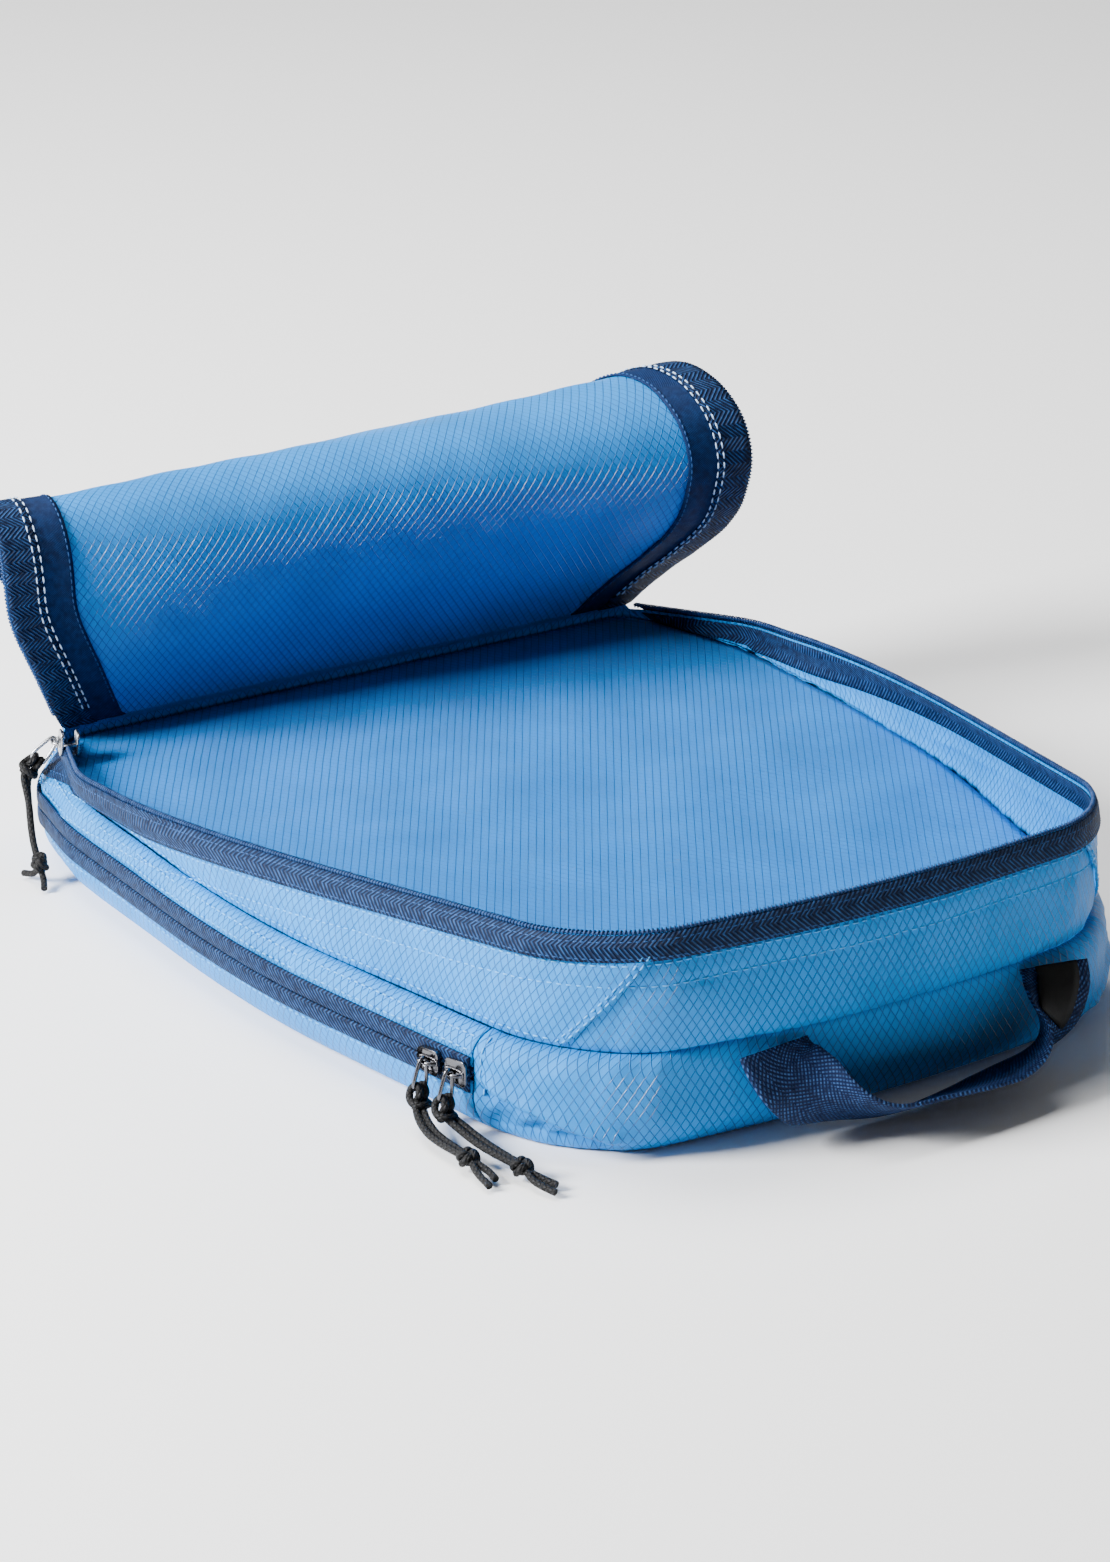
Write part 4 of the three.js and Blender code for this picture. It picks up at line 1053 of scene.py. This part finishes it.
uppers = [front_upper()]
for side, word in ((-1, "left"), (1, "right")):
    uppers.append(side_upper(side, "side_wall_" + word, f"side_panel_{word}_upper"))
for made in uppers:
    print(made.name, len(made.data.polygons), "faces")

# %% [markdown]
# ## Zip tapes
# A zip tape is a narrow herringbone strip. On the rim it stands up with its coil just
# past its free edge, and its other face shows on the inside of the bag.

# %% tapes on the walls
TAPE_DROP = 9.0
RIM_END = 6.0


def tape_sheet(name, first, last, rows, material, body, outer, thick, replaces=()):
    stations = even_stations(first, last, 2.0)[:, None]
    levels = rows(stations)
    bulge = 0.30 * np.sin(math.pi * np.linspace(0, 1, levels.shape[1]))[None, :]
    grid = skin(stations + 0 * levels, levels, outer + bulge, True)
    back = skin(stations + 0 * levels, levels, outer - thick + bulge, True)
    u = run_of(stations) + 0 * levels
    v = np.cumsum(np.pad(np.linalg.norm(np.diff(grid, axis=1), axis=-1), ((0, 0), (1, 0))), 1)
    made = sheet(name, grid, back, material, body, np.stack([u, v], -1))
    if replaces:
        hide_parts(*replaces)
    print(name, len(made.data.polygons), "faces")


rim_rows = rows_between(lambda s: below_rim(s, TAPE_DROP), lambda s: below_rim(s, 0.8), 7)
tape_sheet("rim_tape", -RIM_END, RIM_END, rim_rows, ZIP_TAPE, "main", 1.0, 0.7, ["rim_zip_tape"])
inner_rows = rows_between(lambda s: below_rim(s, 10.5), lambda s: below_rim(s, 2.3), 7)
tape_sheet("rim_tape_inside", -RIM_END, RIM_END, inner_rows, ZIP_TAPE, "main", -1.0, 0.5)
zip_low = rows_between(height(ZIP_Z - BAND), height(ZIP_Z - 0.25), 8)
zip_high = rows_between(height(ZIP_Z + 0.25), height(ZIP_Z + BAND), 8)
zip_span = (ZIP_END + SEAM_GAP, 16 - ZIP_END - SEAM_GAP)
tape_sheet("lower_tape_base", *zip_span, zip_low, ZIP_TAPE, "base", 1.0, 0.7, ["lower_zip_tape_base"])
tape_sheet("lower_tape_wall", *zip_span, zip_high, ZIP_TAPE, "main", 1.0, 0.7, ["lower_zip_tape_wall"])

# %% [markdown]
# ## Zip coils
# The teeth are one nylon thread wound into a flat coil. A row of copied teeth would be
# quicker to make. A tube along a flattened helix is what the coil is, so every tooth is
# real, and the two halves of the lower zip start half a turn apart.

# %% coil builder
COIL_WIDTH, COIL_DEPTH, COIL_PITCH = 1.7, 1.2, 1.35
POINTS_PER_TURN = 8


def coil_mesh(name, centre, across, out, body, node, phase=0.0):
    run = distances(centre)
    count = int(run[-1] / COIL_PITCH)
    where = np.linspace(0, run[-1], count * POINTS_PER_TURN)
    angle = (where / COIL_PITCH + phase) * 2 * math.pi
    swing = 0.5 * COIL_WIDTH * np.sign(np.cos(angle)) * np.abs(np.cos(angle)) ** 0.7
    line = along_table(where, run, centre)
    line = line + unit(along_table(where, run, across)) * swing[:, None]
    line = line + unit(along_table(where, run, out)) * (0.5 * COIL_DEPTH * np.sin(angle))[:, None]
    made = tube_mesh(name, line, 0.30, 4, COIL, body)
    tube_mesh(name + "_core", centre, 0.5, 8, NAVY_THREAD, body)
    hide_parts(node)
    print(name, count, "teeth")


def wall_coil(name, first, last, level_of, body, node, offset, phase=0.0):
    stations = even_stations(first, last, 2.0)
    levels = level_of(stations)
    centre = skin(stations, levels, offset, True)
    out = wall_normal(stations, levels)
    along = unit(np.gradient(centre, axis=0))
    coil_mesh(name, centre, np.cross(along, out), out, body, node, phase)


wall_coil("rim_coil", -RIM_END, RIM_END, lambda s: below_rim(s, 0.3), "main", "rim_zip_coil", -0.15)
wall_coil("lower_coil_base", *zip_span, height(ZIP_Z - 0.75), "base", "lower_zip_coil_base", -1.1)
wall_coil("lower_coil_wall", *zip_span, height(ZIP_Z + 0.75), "main", "lower_zip_coil_wall", -1.1, 0.5)

# %% [markdown]
# ## Sliders and bails
# A coil-zip slider is two plates on a post, with side flanges that guide the tape and a
# bridge on its back. Its edges are rounded over, so the parts are cubes whose corners and
# edges get a bevel, and wires are curves with a round section. These few helpers make
# them flat at the origin, where sizes are easy to read.


# %% slider parts
def metal_box(size, place_, taper=1.0, corner=0.0):
    bpy.ops.object.select_all(action="DESELECT")
    bpy.ops.mesh.primitive_cube_add(size=1, location=[c * MM for c in place_])
    made = bpy.context.object
    made.scale = [s * MM for s in size]
    bpy.ops.object.transform_apply(location=True, rotation=True, scale=True)
    bpy.ops.object.mode_set(mode="EDIT")
    bpy.ops.mesh.select_all(action="DESELECT")
    bpy.ops.object.mode_set(mode="OBJECT")
    for vertex in made.data.vertices:
        vertex.select = vertex.co.x < place_[0] * MM
    bpy.ops.object.mode_set(mode="EDIT")
    bpy.ops.transform.resize(value=(1, taper, 1))
    bpy.ops.mesh.select_all(action="DESELECT")
    bpy.ops.object.mode_set(mode="OBJECT")
    for edge in made.data.edges:
        ends = [made.data.vertices[k].co for k in edge.vertices]
        edge.select = abs(ends[0].z - ends[1].z) > size[2] * MM * 0.5
    if corner:
        bpy.ops.object.mode_set(mode="EDIT")
        bpy.ops.mesh.select_mode(type="EDGE")
        bpy.ops.mesh.bevel(offset=corner * MM, segments=5, affect="EDGES")
        bpy.ops.object.mode_set(mode="OBJECT")
    return made


def rounded(made, radius, segments=3):
    bevel = made.modifiers.new("rounded", "BEVEL")
    bevel.width = radius * MM
    bevel.segments = segments
    bevel.limit_method = "ANGLE"
    bevel.angle_limit = math.radians(35)
    bpy.context.view_layer.objects.active = made
    bpy.ops.object.modifier_apply(modifier="rounded")
    return made


def joined(name, parts):
    bpy.ops.object.select_all(action="DESELECT")
    for part in parts:
        part.select_set(True)
    bpy.context.view_layer.objects.active = parts[0]
    if len(parts) > 1:
        bpy.ops.object.join()
    bpy.ops.object.shade_smooth_by_angle(angle=math.radians(40))
    parts[0].name = name
    return parts[0]


def bent_wire(points, radius, closed=False):
    bpy.ops.object.select_all(action="DESELECT")
    bpy.ops.curve.primitive_bezier_circle_add(radius=MM, location=(0, 0, 0))
    curve = bpy.context.object
    curve.data.splines.clear()
    line = curve.data.splines.new("NURBS")
    line.points.add(len(points) - 1)
    for target, point in zip(line.points, points):
        target.co = (*[c * MM for c in point], 1)
    line.use_cyclic_u = closed
    line.use_endpoint_u = not closed
    line.order_u = 4
    line.resolution_u = 6
    curve.data.dimensions = "3D"
    curve.data.bevel_depth = radius * MM
    curve.data.bevel_resolution = 4
    curve.data.use_fill_caps = not closed
    bpy.ops.object.convert(target="MESH")
    return bpy.context.object


def set_on(made, axes, origin, material, body, slot):
    basis = Matrix(np.array([axes["along"], axes["across"], axes["off"]]).T.tolist()).to_4x4()
    made.data.transform(Matrix.Translation(Vector(metres(origin))) @ basis)
    made.data.materials.clear()
    made.data.materials.append(material)
    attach(made, body)
    return made


print("slider parts ready")

# %% [markdown]
# Each slider's plates taper to the tail, and the finished piece is then set on the zip by
# a matrix made of its three directions. The cord's hitch hangs from a wire bail that is
# bent round the bridge and can swing on it.

# %% sliders
SLIDER_LENGTH, SLIDER_WIDTH, SLIDER_TAIL = 9.5, 8.8, 7.4
PLATE = 1.0
OUTER_FACE, INNER_FACE = 1.4, -3.1
BRIDGE_SPAN = 6.6


def slider(which, material, slot, lip):
    axes = AXES[which]
    taper = SLIDER_TAIL / SLIDER_WIDTH
    outer = metal_box((SLIDER_LENGTH, SLIDER_WIDTH, PLATE), (0, 0, OUTER_FACE + PLATE / 2), taper, 1.9)
    spine = metal_box((SLIDER_LENGTH - 2.0, 2.6, 0.55), (0, 0, OUTER_FACE + PLATE + 0.2), 1, 1.1)
    inner = metal_box((SLIDER_LENGTH, SLIDER_WIDTH, PLATE), (0, 0, INNER_FACE - PLATE / 2), taper, 1.9)
    post = metal_box((3.0, 0.9, OUTER_FACE - INNER_FACE + 0.4), (3.1, 0, (OUTER_FACE + INNER_FACE) / 2), 0.5)
    flange_place = (0.2, lip * (SLIDER_WIDTH / 2 - 0.7), INNER_FACE + 0.65)
    flange = metal_box((SLIDER_LENGTH - 3.0, 0.9, 1.5), flange_place)
    parts = [rounded(part, 0.28) for part in (outer, spine, inner, flange)] + [rounded(post, 0.12, 2)]
    half, foot = BRIDGE_SPAN / 2, OUTER_FACE + PLATE - 0.3
    rise = BRIDGE_HEIGHT - foot
    arch = [
        (-half, 0, foot - 0.3),
        (-half, 0, foot + 0.55 * rise),
        (-0.62 * half, 0, BRIDGE_HEIGHT + 0.25),
        (0, 0, BRIDGE_HEIGHT),
        (0.62 * half, 0, BRIDGE_HEIGHT + 0.25),
        (half, 0, foot + 0.55 * rise),
        (half, 0, foot - 0.3),
    ]
    parts.append(bent_wire(arch, 0.6))
    for end in (-half, half):
        parts.append(rounded(metal_box((1.7, 1.9, 0.7), (end, 0, OUTER_FACE + PLATE + 0.2), 1, 0.5), 0.2))
    made = joined("slider_body_" + which, parts)
    set_on(made, axes, axes["origin"], material, "slider_" + which, slot)
    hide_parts("slider_" + which)
    return made


def bail(which, material, slot):
    axes = AXES[which]
    small, large, length, radius = 1.55, 2.7, 6.5, 0.65
    loop = []
    for centre, reach, first, last, count in ((0, small, -165, -15, 7), (length, large, 5, 175, 9)):
        for angle in np.radians(np.linspace(first, last, count)):
            loop.append((0, reach * math.cos(angle), centre + reach * math.sin(angle)))
    wire = bent_wire(loop, radius, closed=True)
    made = joined("bail_wire_" + which, [wire])
    frame_of_bail = {"along": axes["along"], "across": axes["wire"], "off": axes["down"]}
    made = set_on(made, frame_of_bail, axes["bridge"], material, "bail_" + which, slot)
    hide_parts("bail_" + which)
    return made


for which, finish_, slot_ in (
    ("lower_rear", DARK_METAL, "slider_dark"),
    ("lower_front", DARK_METAL, "slider_dark"),
    ("top", BRIGHT_METAL, "slider_bright"),
):
    body_ = slider(which, finish_, slot_, -1 if which == "top" else 1)
    wire_ = bail(which, finish_, slot_)
    print(body_.name, len(body_.data.polygons), wire_.name, len(wire_.data.polygons))

# %% [markdown]
# ## Stitching
# Every seam is held by rows of lockstitch. A stitch is a short grain of thread that dives
# into the cloth at both ends. An array along a curve could copy one, but here a row is
# one mesh whose grains of 15 faces each follow the cloth under them.


# %% stitch builder
STITCH_MARKS = (-0.5, -0.26, 0.26, 0.5)


def stitch_row(name, line, ups, material, body, slot, pitch=3.3, share=0.78, width=0.55, double=None):
    lines = [(line, ups)] if double is None else [(line, ups), (double, ups)]
    verts, faces = [], []
    ring = np.array([(math.cos(a), math.sin(a)) for a in np.radians(np.arange(0, 360, 72))])
    for path, lifts in lines:
        run = distances(path)
        count = int(run[-1] / pitch)
        at = (np.arange(count) + 0.5) * run[-1] / count
        ups_at = unit(along_table(at, run, lifts))
        marks = [np.clip(at + s * share * run[-1] / count, 0, run[-1]) for s in STITCH_MARKS]
        ends = [along_table(where, run, path) for where in marks]
        along = unit(ends[3] - ends[0])
        side = np.cross(along, ups_at)
        for k in range(count):
            first = len(verts)
            verts.append(ends[0][k] - 0.22 * width * ups_at[k])
            for mark in (1, 2):
                for c, s in ring:
                    lift = ups_at[k] * (s * width / 2 + 0.25 * width)
                    verts.append(ends[mark][k] + side[k] * c * width / 2 + lift)
            verts.append(ends[3][k] - 0.22 * width * ups_at[k])
            for j in range(5):
                a, b = first + 1 + j, first + 1 + (j + 1) % 5
                faces += [[first, b, a], [a, b, b + 5, a + 5], [a + 5, b + 5, first + 11]]
    placed = metres(verts)
    return new_piece(name, placed, faces, placed[:, :2] * 0 + 0.5, material, body)


def wall_stitches(name, first, last, level_of, material, body, slot, proud=0.0, calm=False, **kinds):
    stations = even_stations(first, last, 1.0)
    levels = level_of(stations)
    path = skin(stations, levels, proud, calm)
    return stitch_row(name, path, wall_normal(stations, levels), material, body, slot, **kinds)


print("a stitch has marks at", STITCH_MARKS)

# %% [markdown]
# Two rows hold the hem under the rim, two more sit on the rim tape, and the middle seam,
# the flaps and the lower zip have their own. Each row has its own height over the wall:
# about 0.1 mm on plain cloth, and more on the flaps and the tape.

# %% stitches of the walls
seam_rows = 0
for name, reach, drop in (("hem_upper", RIM_END, 10.2), ("hem_lower", RIM_END - 0.6, 17.3)):
    level_of = lambda s: below_rim(s, drop)
    wall_stitches("stitch_" + name, -reach, reach, level_of, BLUE_THREAD, "main", "ripstop_blue", 0.05)
    seam_rows += 1
for name, drop in (("rim_tape", 7.9), ("rim_chain", 2.6)):
    level_of = lambda s: below_rim(s, drop)
    row = ("stitch_" + name, -RIM_END, RIM_END, level_of, NAVY_THREAD, "main", "tape_navy")
    wall_stitches(*row, 1.06, True, pitch=2.4, width=0.4)
    seam_rows += 1
for side, word in ((-1, "left"), (1, "right")):
    near, far = sorted((side * 1.66, side * 6.2))
    row = ("stitch_middle_" + word, near, far, height(SEAM_Z + 2.2), BLUE_THREAD, "main", "ripstop_blue")
    wall_stitches(*row, 0.1)
    edge_levels = np.linspace(1.03, 1.97, 80)
    rows = []
    for inset, proud in ((1.3, 0.62), (3.6, 0.42)):
        stations = station_at(run_of(flap_station(edge_levels)) + inset)
        rows.append(skin(side * stations, edge_levels, proud))
    ups = wall_normal(side * stations, edge_levels)
    stitch_row("stitch_flap_" + word, rows[0], ups, BLUE_THREAD, "main", "ripstop_blue", double=rows[1])
    zip_levels = level_at(np.full(60, 2.0), np.linspace(13, 33, 60))
    end_stations = np.full(60, side * (ZIP_END - 0.05))
    end_line, end_ups = skin(end_stations, zip_levels, 0.12), wall_normal(end_stations, zip_levels)
    stitch_row("stitch_zip_end_" + word, end_line, end_ups, BLUE_THREAD, "main", "ripstop_blue")
    seam_rows += 3
for name, z, body in (
    ("above_zip", ZIP_Z + 7.6, "main"),
    ("above_zip_far", ZIP_Z + 11.6, "main"),
    ("below_zip", ZIP_Z - 7.6, "base"),
):
    first, last = ZIP_END + 0.03, 16 - ZIP_END - 0.03
    wall_stitches("stitch_" + name, first, last, height(z), BLUE_THREAD, body, "ripstop_blue", 0.05)
    seam_rows += 1
print(seam_rows, "rows of stitches")

# %% [markdown]
# ## Rolled lid
# The lid's two ends follow two different profiles, and every line of cloth runs straight
# from one to the other, which is how a stiff-edged sheet really rolls. Points along the
# lid are counted from the hinge line.

# %% lid surface
LID_LEFT = [
    (0, 0), (-0.047, 0.143), (-0.068, 0.317), (-0.068, 0.491), (-0.058, 0.643),
    (-0.02, 0.774), (0.067, 0.861), (0.176, 0.872), (0.263, 0.807), (0.29, 0.703),
    (0.236, 0.605), (0.133, 0.546), (0.035, 0.48), (-0.009, 0.372), (-0.009, 0.23),
    (0.035, 0.116), (0.127, 0.073), (0.214, 0.127), (0.252, 0.252), (0.247, 0.388),
    (0.182, 0.459), (0.105, 0.415), (0.078, 0.312), (0.095, 0.209), (0.143, 0.154),
    (0.187, 0.209), (0.198, 0.296),
]
LID_RIGHT = [
    (0, 0), (-0.117, 0.143), (-0.27, 0.285), (-0.4, 0.426), (-0.509, 0.578),
    (-0.552, 0.741), (-0.487, 0.883), (-0.324, 0.98), (-0.107, 0.997), (0.1, 0.921),
    (0.22, 0.774), (0.23, 0.622), (0.143, 0.513), (0.046, 0.421), (0.002, 0.307),
    (0.018, 0.192), (0.089, 0.127), (0.176, 0.149), (0.209, 0.236), (0.192, 0.328),
    (0.133, 0.366), (0.078, 0.323), (0.073, 0.247), (0.111, 0.203), (0.143, 0.23),
    (0.146, 0.268), (0.128, 0.293),
]
LID_STAND = 92.0
HINGE = np.array([RIM_BACK - 0.7, RIM_REAR + 0.3])
LID_PROFILES = [np.array(shares) * LID_STAND + HINGE for shares in (LID_LEFT, LID_RIGHT)]
LID_LENGTH = RIM_BACK - RIM_FACE + 0.8
LID_FRONT = LID_LENGTH - 1.2 - 0.8

lid_shares = np.linspace(0, 1, 1201)
lid_middle = sum(spline(profile, lid_shares) for profile in LID_PROFILES) / 2
lid_runs = distances(lid_middle)
lid_runs *= LID_LENGTH / lid_runs[-1]


def lid_point(across, along):
    across, along = np.broadcast_arrays(np.asarray(across, float), np.asarray(along, float))
    share = np.interp(along, lid_runs, lid_shares)
    side = np.clip(across / (2 * PLANS["rim"][4][0]) + 0.5, 0, 1)[..., None]
    left, right_ = (spline(profile, share) for profile in LID_PROFILES)
    profile = left * (1 - side) + right_ * side
    return np.concatenate([across[..., None], profile], -1)


def lid_skin(across, along, offset=0.0):
    step = 0.8
    low = np.clip(along - step, 0, LID_LENGTH - 2 * step)
    run = lid_point(across, low + 2 * step) - lid_point(across, low)
    span = lid_point(across + step, along) - lid_point(across - step, along)
    normal = unit(np.cross(span, run))
    wave = 0.55 * uneven(across, along, 85.0, 14) + 0.12 * uneven(across, along, 18.0, 50)
    wave = wave * np.clip(along / 20, 0, 1)
    return lid_point(across, along) + normal * (offset + wave)[..., None]


edge_stations = np.linspace(0, 7, 1401)
edge_plan = plan_point("rim", edge_stations)


def lid_half(along):
    y = RIM_BACK - np.asarray(along, float)
    rising = np.maximum.accumulate(edge_plan[:, 1]) + np.arange(1401) * 1e-7
    return np.interp(y, rising, edge_plan[:, 0])


print("lid is", round(LID_FRONT), "mm from hinge line to front edge")

# %% [markdown]
# Cloth, tape and binding are layers of one roll, each at its own distance from the lid's
# surface. Laying them out on the flat lid and bending them all with it keeps them in
# step, where separate meshes would have to be fitted to each other.


# %% lid cloth, tape and coil
def lid_sheet(name, columns, first, last, offset, thick, material, slot, step=1.5):
    rows = np.linspace(first, last, int(round((last - first) / step)) + 1)
    half = lid_half(rows)[None, :]
    across = columns(half)
    along = rows[None, :] + 0 * across
    grid = lid_skin(across, along, offset + thick / 2)
    back = lid_skin(across, along, offset - thick / 2)
    made = sheet(name, grid, back, material, "lid", np.stack([across, along], -1))
    print(name, len(made.data.polygons), "faces")
    return made


def spread(low, high, count):
    shares = np.linspace(0, 1, count)[:, None]
    return lambda half: low(half) + (high(half) - low(half)) * shares


def whole_width(count):
    return spread(lambda half: -half + LID_INSET, lambda half: half - LID_INSET, count)


LID_INSET = 1.2
LID_BAND = 24.0
BAND_END = LID_FRONT - LID_BAND
lid_cloth = lid_sheet("lid_cloth", whole_width(120), 0, LID_FRONT, 0, 0.5, CLOTH, "ripstop_blue")
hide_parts("lid_panel")
for side, word in ((-1, "left"), (1, "right")):
    band = lambda near, far: spread(lambda h: side * (h - near), lambda h: side * (h - far), 8)
    ends = (LID_INSET, BAND_END)
    tape = lid_sheet("lid_tape_" + word, band(0.0, 12.5), *ends, 1.35, 0.6, ZIP_TAPE, "tape_navy")
    lid_sheet("lid_binding_" + word, band(11.5, LID_BAND), *ends, 0.85, 0.5, BINDING, "tape_navy")
    lid_sheet("lid_tape_back_" + word, band(0.0, 9.0), *ends, -0.8, 0.5, ZIP_TAPE, "tape_navy")
    if side < 0:
        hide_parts("lid_zip_tape")
lid_sheet("lid_tape_front", whole_width(90), BAND_END, LID_FRONT, 1.1, 0.6, ZIP_TAPE, "tape_navy")


def lid_coil():
    rows = np.arange(10, LID_FRONT + 0.1, 2.0)
    half = lid_half(rows)
    right_edge = np.stack([half, rows], -1)
    edge = np.concatenate([right_edge, (right_edge * [-1, 1])[::-1]])
    run = unit(np.gradient(edge, axis=0))
    outward = np.stack([run[:, 1], -run[:, 0]], -1)
    middle = edge + outward * 0.1
    centre = lid_skin(middle[:, 0], middle[:, 1], 0.7)
    beyond = lid_skin((middle + outward)[:, 0], (middle + outward)[:, 1], 0.7)
    lifted = lid_skin(middle[:, 0], middle[:, 1], 1.7)
    coil_mesh("lid_coil", centre, beyond - centre, lifted - centre, "lid", "lid_zip_coil")


lid_coil()

# %% [markdown]
# The rear edge of the lid and the rear wall are sewn into one seam and bound with a strip
# of the same cloth, which makes a thin roll along the hinge line.

# %% hinge seam
hinge_x = np.linspace(-PLANS["rim"][-1][0] - 3.5, PLANS["rim"][-1][0] + 3.5, 90)
hinge_line = np.stack([hinge_x, np.full(90, HINGE[0] + 0.3), np.full(90, HINGE[1] - 0.25)], -1)
hinge_line[:, 2] += 0.1 * uneven(hinge_x, 0 * hinge_x, 30.0, 12)
hinge_roll = tube_mesh("hinge_seam", hinge_line, 1.15, 14, CLOTH, "main")
rear_top = np.stack([hinge_x, np.full(90, HINGE[0] + 1.55), np.full(90, HINGE[1] - 0.25)], -1)
stitch_row("stitch_hinge", rear_top, np.tile([0.0, 1.0, 0.0], (90, 1)), BLUE_THREAD, "main", "ripstop_blue")
print(hinge_roll.name)

# %% [markdown]
# A pale double row holds the lid's tape, and a navy row holds the inner edge of its
# binding. They are laid on the same surface as the tape, a little over it.

# %% stitches of the lid
for side, word in ((-1, "left"), (1, "right")):
    rows = np.arange(10, BAND_END + 2, 1.0)
    half = lid_half(rows)
    pair = [lid_skin(side * (half - inset), rows, 1.72) for inset in (10.6, 12.9)]
    ups = unit(lid_skin(side * (half - 12), rows, 2.7) - lid_skin(side * (half - 12), rows, 1.7))
    row = ("stitch_lid_" + word, pair[0], ups, PALE_THREAD, "lid", "tape_navy")
    stitch_row(*row, double=pair[1], pitch=3.6, width=0.6)
    edge = lid_skin(side * (half - LID_BAND + 1.2), rows, 1.2)
    stitch_row("stitch_lid_inner_" + word, edge, ups, NAVY_THREAD, "lid", "tape_navy", pitch=2.4, width=0.45)
print("lid stitched")

# %% [markdown]
# ## Webbing handle and its label
# The strap is a flat ribbon whose ends are caught in the middle seam. It turns as it
# bends, from lying flat on the wall to standing nearly on edge. The label is a short
# folded ribbon sewn over its right end, and it stays bare.

# %% strap path
STRAP_SHARES = [
    (-0.312, 0.236, 0.928), (-0.308, 0.388, 0.829), (-0.287, 0.582, 0.681), (-0.222, 0.788, 0.449),
    (-0.1, 0.97, 0.255), (0.072, 1, 0.226), (0.244, 0.97, 0.243), (0.351, 0.848, 0.377),
    (0.416, 0.642, 0.609), (0.452, 0.436, 0.812), (0.459, 0.279, 0.928),
]
STRAP_REACH = 16.5
STRAP_WIDTH = 25.0
STRAP_THICK = 1.6


def seam_front(x):
    table = TABLES["seam"]
    front = np.abs(MARKS) <= 2
    return np.interp(x, table[front, 0], table[front, 1])


def strap_frames(count=120):
    shares = np.array(STRAP_SHARES) * [HALF_WIDTH, STRAP_REACH, SEAM_Z]
    line = np.array([(x, seam_front(x) - out, z) for x, out, z in shares])
    dense = spline(line, np.linspace(0, 1, 1200))
    run = distances(dense)
    where = np.linspace(0, run[-1], count + 1)
    centre = along_table(where, run, dense)
    along = unit(np.gradient(centre, axis=0))
    share = where / run[-1]
    turn_ = np.clip(np.minimum(share, 1 - share) / 0.36, 0, 1)
    turn_ = (turn_**2 * (3 - 2 * turn_))[:, None]
    flat = np.where(share[:, None] < 0.5, [[-1.0, 0, 0]], [[1.0, 0, 0]])
    late = np.clip((share - 0.44) / 0.2, 0, 1)[:, None]
    lean = unit(np.array([0, 0.86, -0.51]) * (1 - late) + np.array([0, 0.94, -0.34]) * late)
    width = unit(flat * (1 - turn_) + lean * turn_)
    width = unit(width - along * np.sum(width * along, -1, keepdims=True))
    return centre, width, unit(np.cross(along, width)), where


strap_centre, strap_across, strap_out, strap_run = strap_frames()
print("strap length", round(strap_run[-1]), "mm")

# %% [markdown]
# Both ribbons are swept along the same path, thinner at their selvedges as woven bands
# are. A bevelled curve would twist on its own terms, so the width direction is given at
# every point of the path.


# %% strap and label
def ribbon(name, first, last, width, low, high, material, columns=13, round_edge=0.35):
    rows = slice(first, last + 1)
    shares = np.linspace(-0.5, 0.5, columns)
    thin = np.clip((0.5 - np.abs(shares)) * 10, 0, 1) ** 0.5
    mid, half = (low + high) / 2, (high - low) / 2
    half = half * (1 - round_edge + round_edge * thin)
    base = strap_centre[rows, None] + strap_across[rows, None] * (shares * width)[None, :, None]
    out = strap_out[rows, None]
    top = base + out * (mid + half)[None, :, None]
    under = base + out * (mid - half)[None, :, None]
    u = np.repeat(strap_run[rows, None], columns, 1)
    v = np.repeat(((shares + 0.5) * width)[None, :], u.shape[0], 0)
    return sheet(name, top, under, material, "handle", np.stack([u, v], -1))


half_thick = STRAP_THICK / 2
strap = ribbon("webbing_strap", 0, 120, STRAP_WIDTH, -half_thick, half_thick, WEBBING)
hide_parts("handle_strap")
label = ribbon("bare_label", 104, 120, 15.5, -1.9, -1.1, LABEL, 7)
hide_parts("size_label")
print(strap.name, label.name)

# %% [markdown]
# Each panel of cloth was cut flat before it was sewn. Its width is read from
# the piece's UV map. On the walls the map's other coordinate follows height and
# not the cloth, so there the length is the made area shared out by the width.
# Strap and label are given the width and the length of path that they were
# built to.

def declare(name, cut=None):
    made = bpy.data.objects[name]
    area = sum(face.area for face in made.data.polygons) / 2
    if cut:
        width, length = cut
        area = width * length
    else:
        coordinates = np.zeros(2 * len(made.data.loops))
        made.data.uv_layers[0].data.foreach_get("uv", coordinates)
        width, length = (float(size) for size in np.ptp(coordinates.reshape(-1, 2), axis=0))
        length = max(length, area / width)
        area = min(area, width * length)
    print(name, round(width / MM), "x", round(length / MM), "mm", round(area * 1e4, 1), "cm2")


lid_pieces = [o for o in bpy.data.objects if o.name.startswith(("lid_", "stitch_lid")) and o.type == "MESH"]
lid_pieces = [o for o in lid_pieces if "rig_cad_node" not in o and o.name != "lid_cloth"]
declare("lid_cloth")
declare("base_sheet")
declare("base_band_left")
declare("base_band_right")
declare("base_band_rear")
declare("side_strip_left")
declare("side_strip_right")
declare("rear_wall")
declare("front_wall_lower")
declare("front_wall_upper")
declare("side_wall_left")
declare("side_wall_right")
declare("rim_tape")
declare("divider_sheet")
declare("webbing_strap", cut=(25 * MM, 135 * MM))
declare("bare_label", cut=(18 * MM, 15.5 * MM))

# %% [markdown]
# The last cell lists the nodes of the model that still show. There should be none, since
# each has been replaced by finer pieces.

# %% nodes still showing, and finish
showing = [name for name, node in frame["nodes"].items() if not node.hide_render]
print("nodes still showing:", showing)
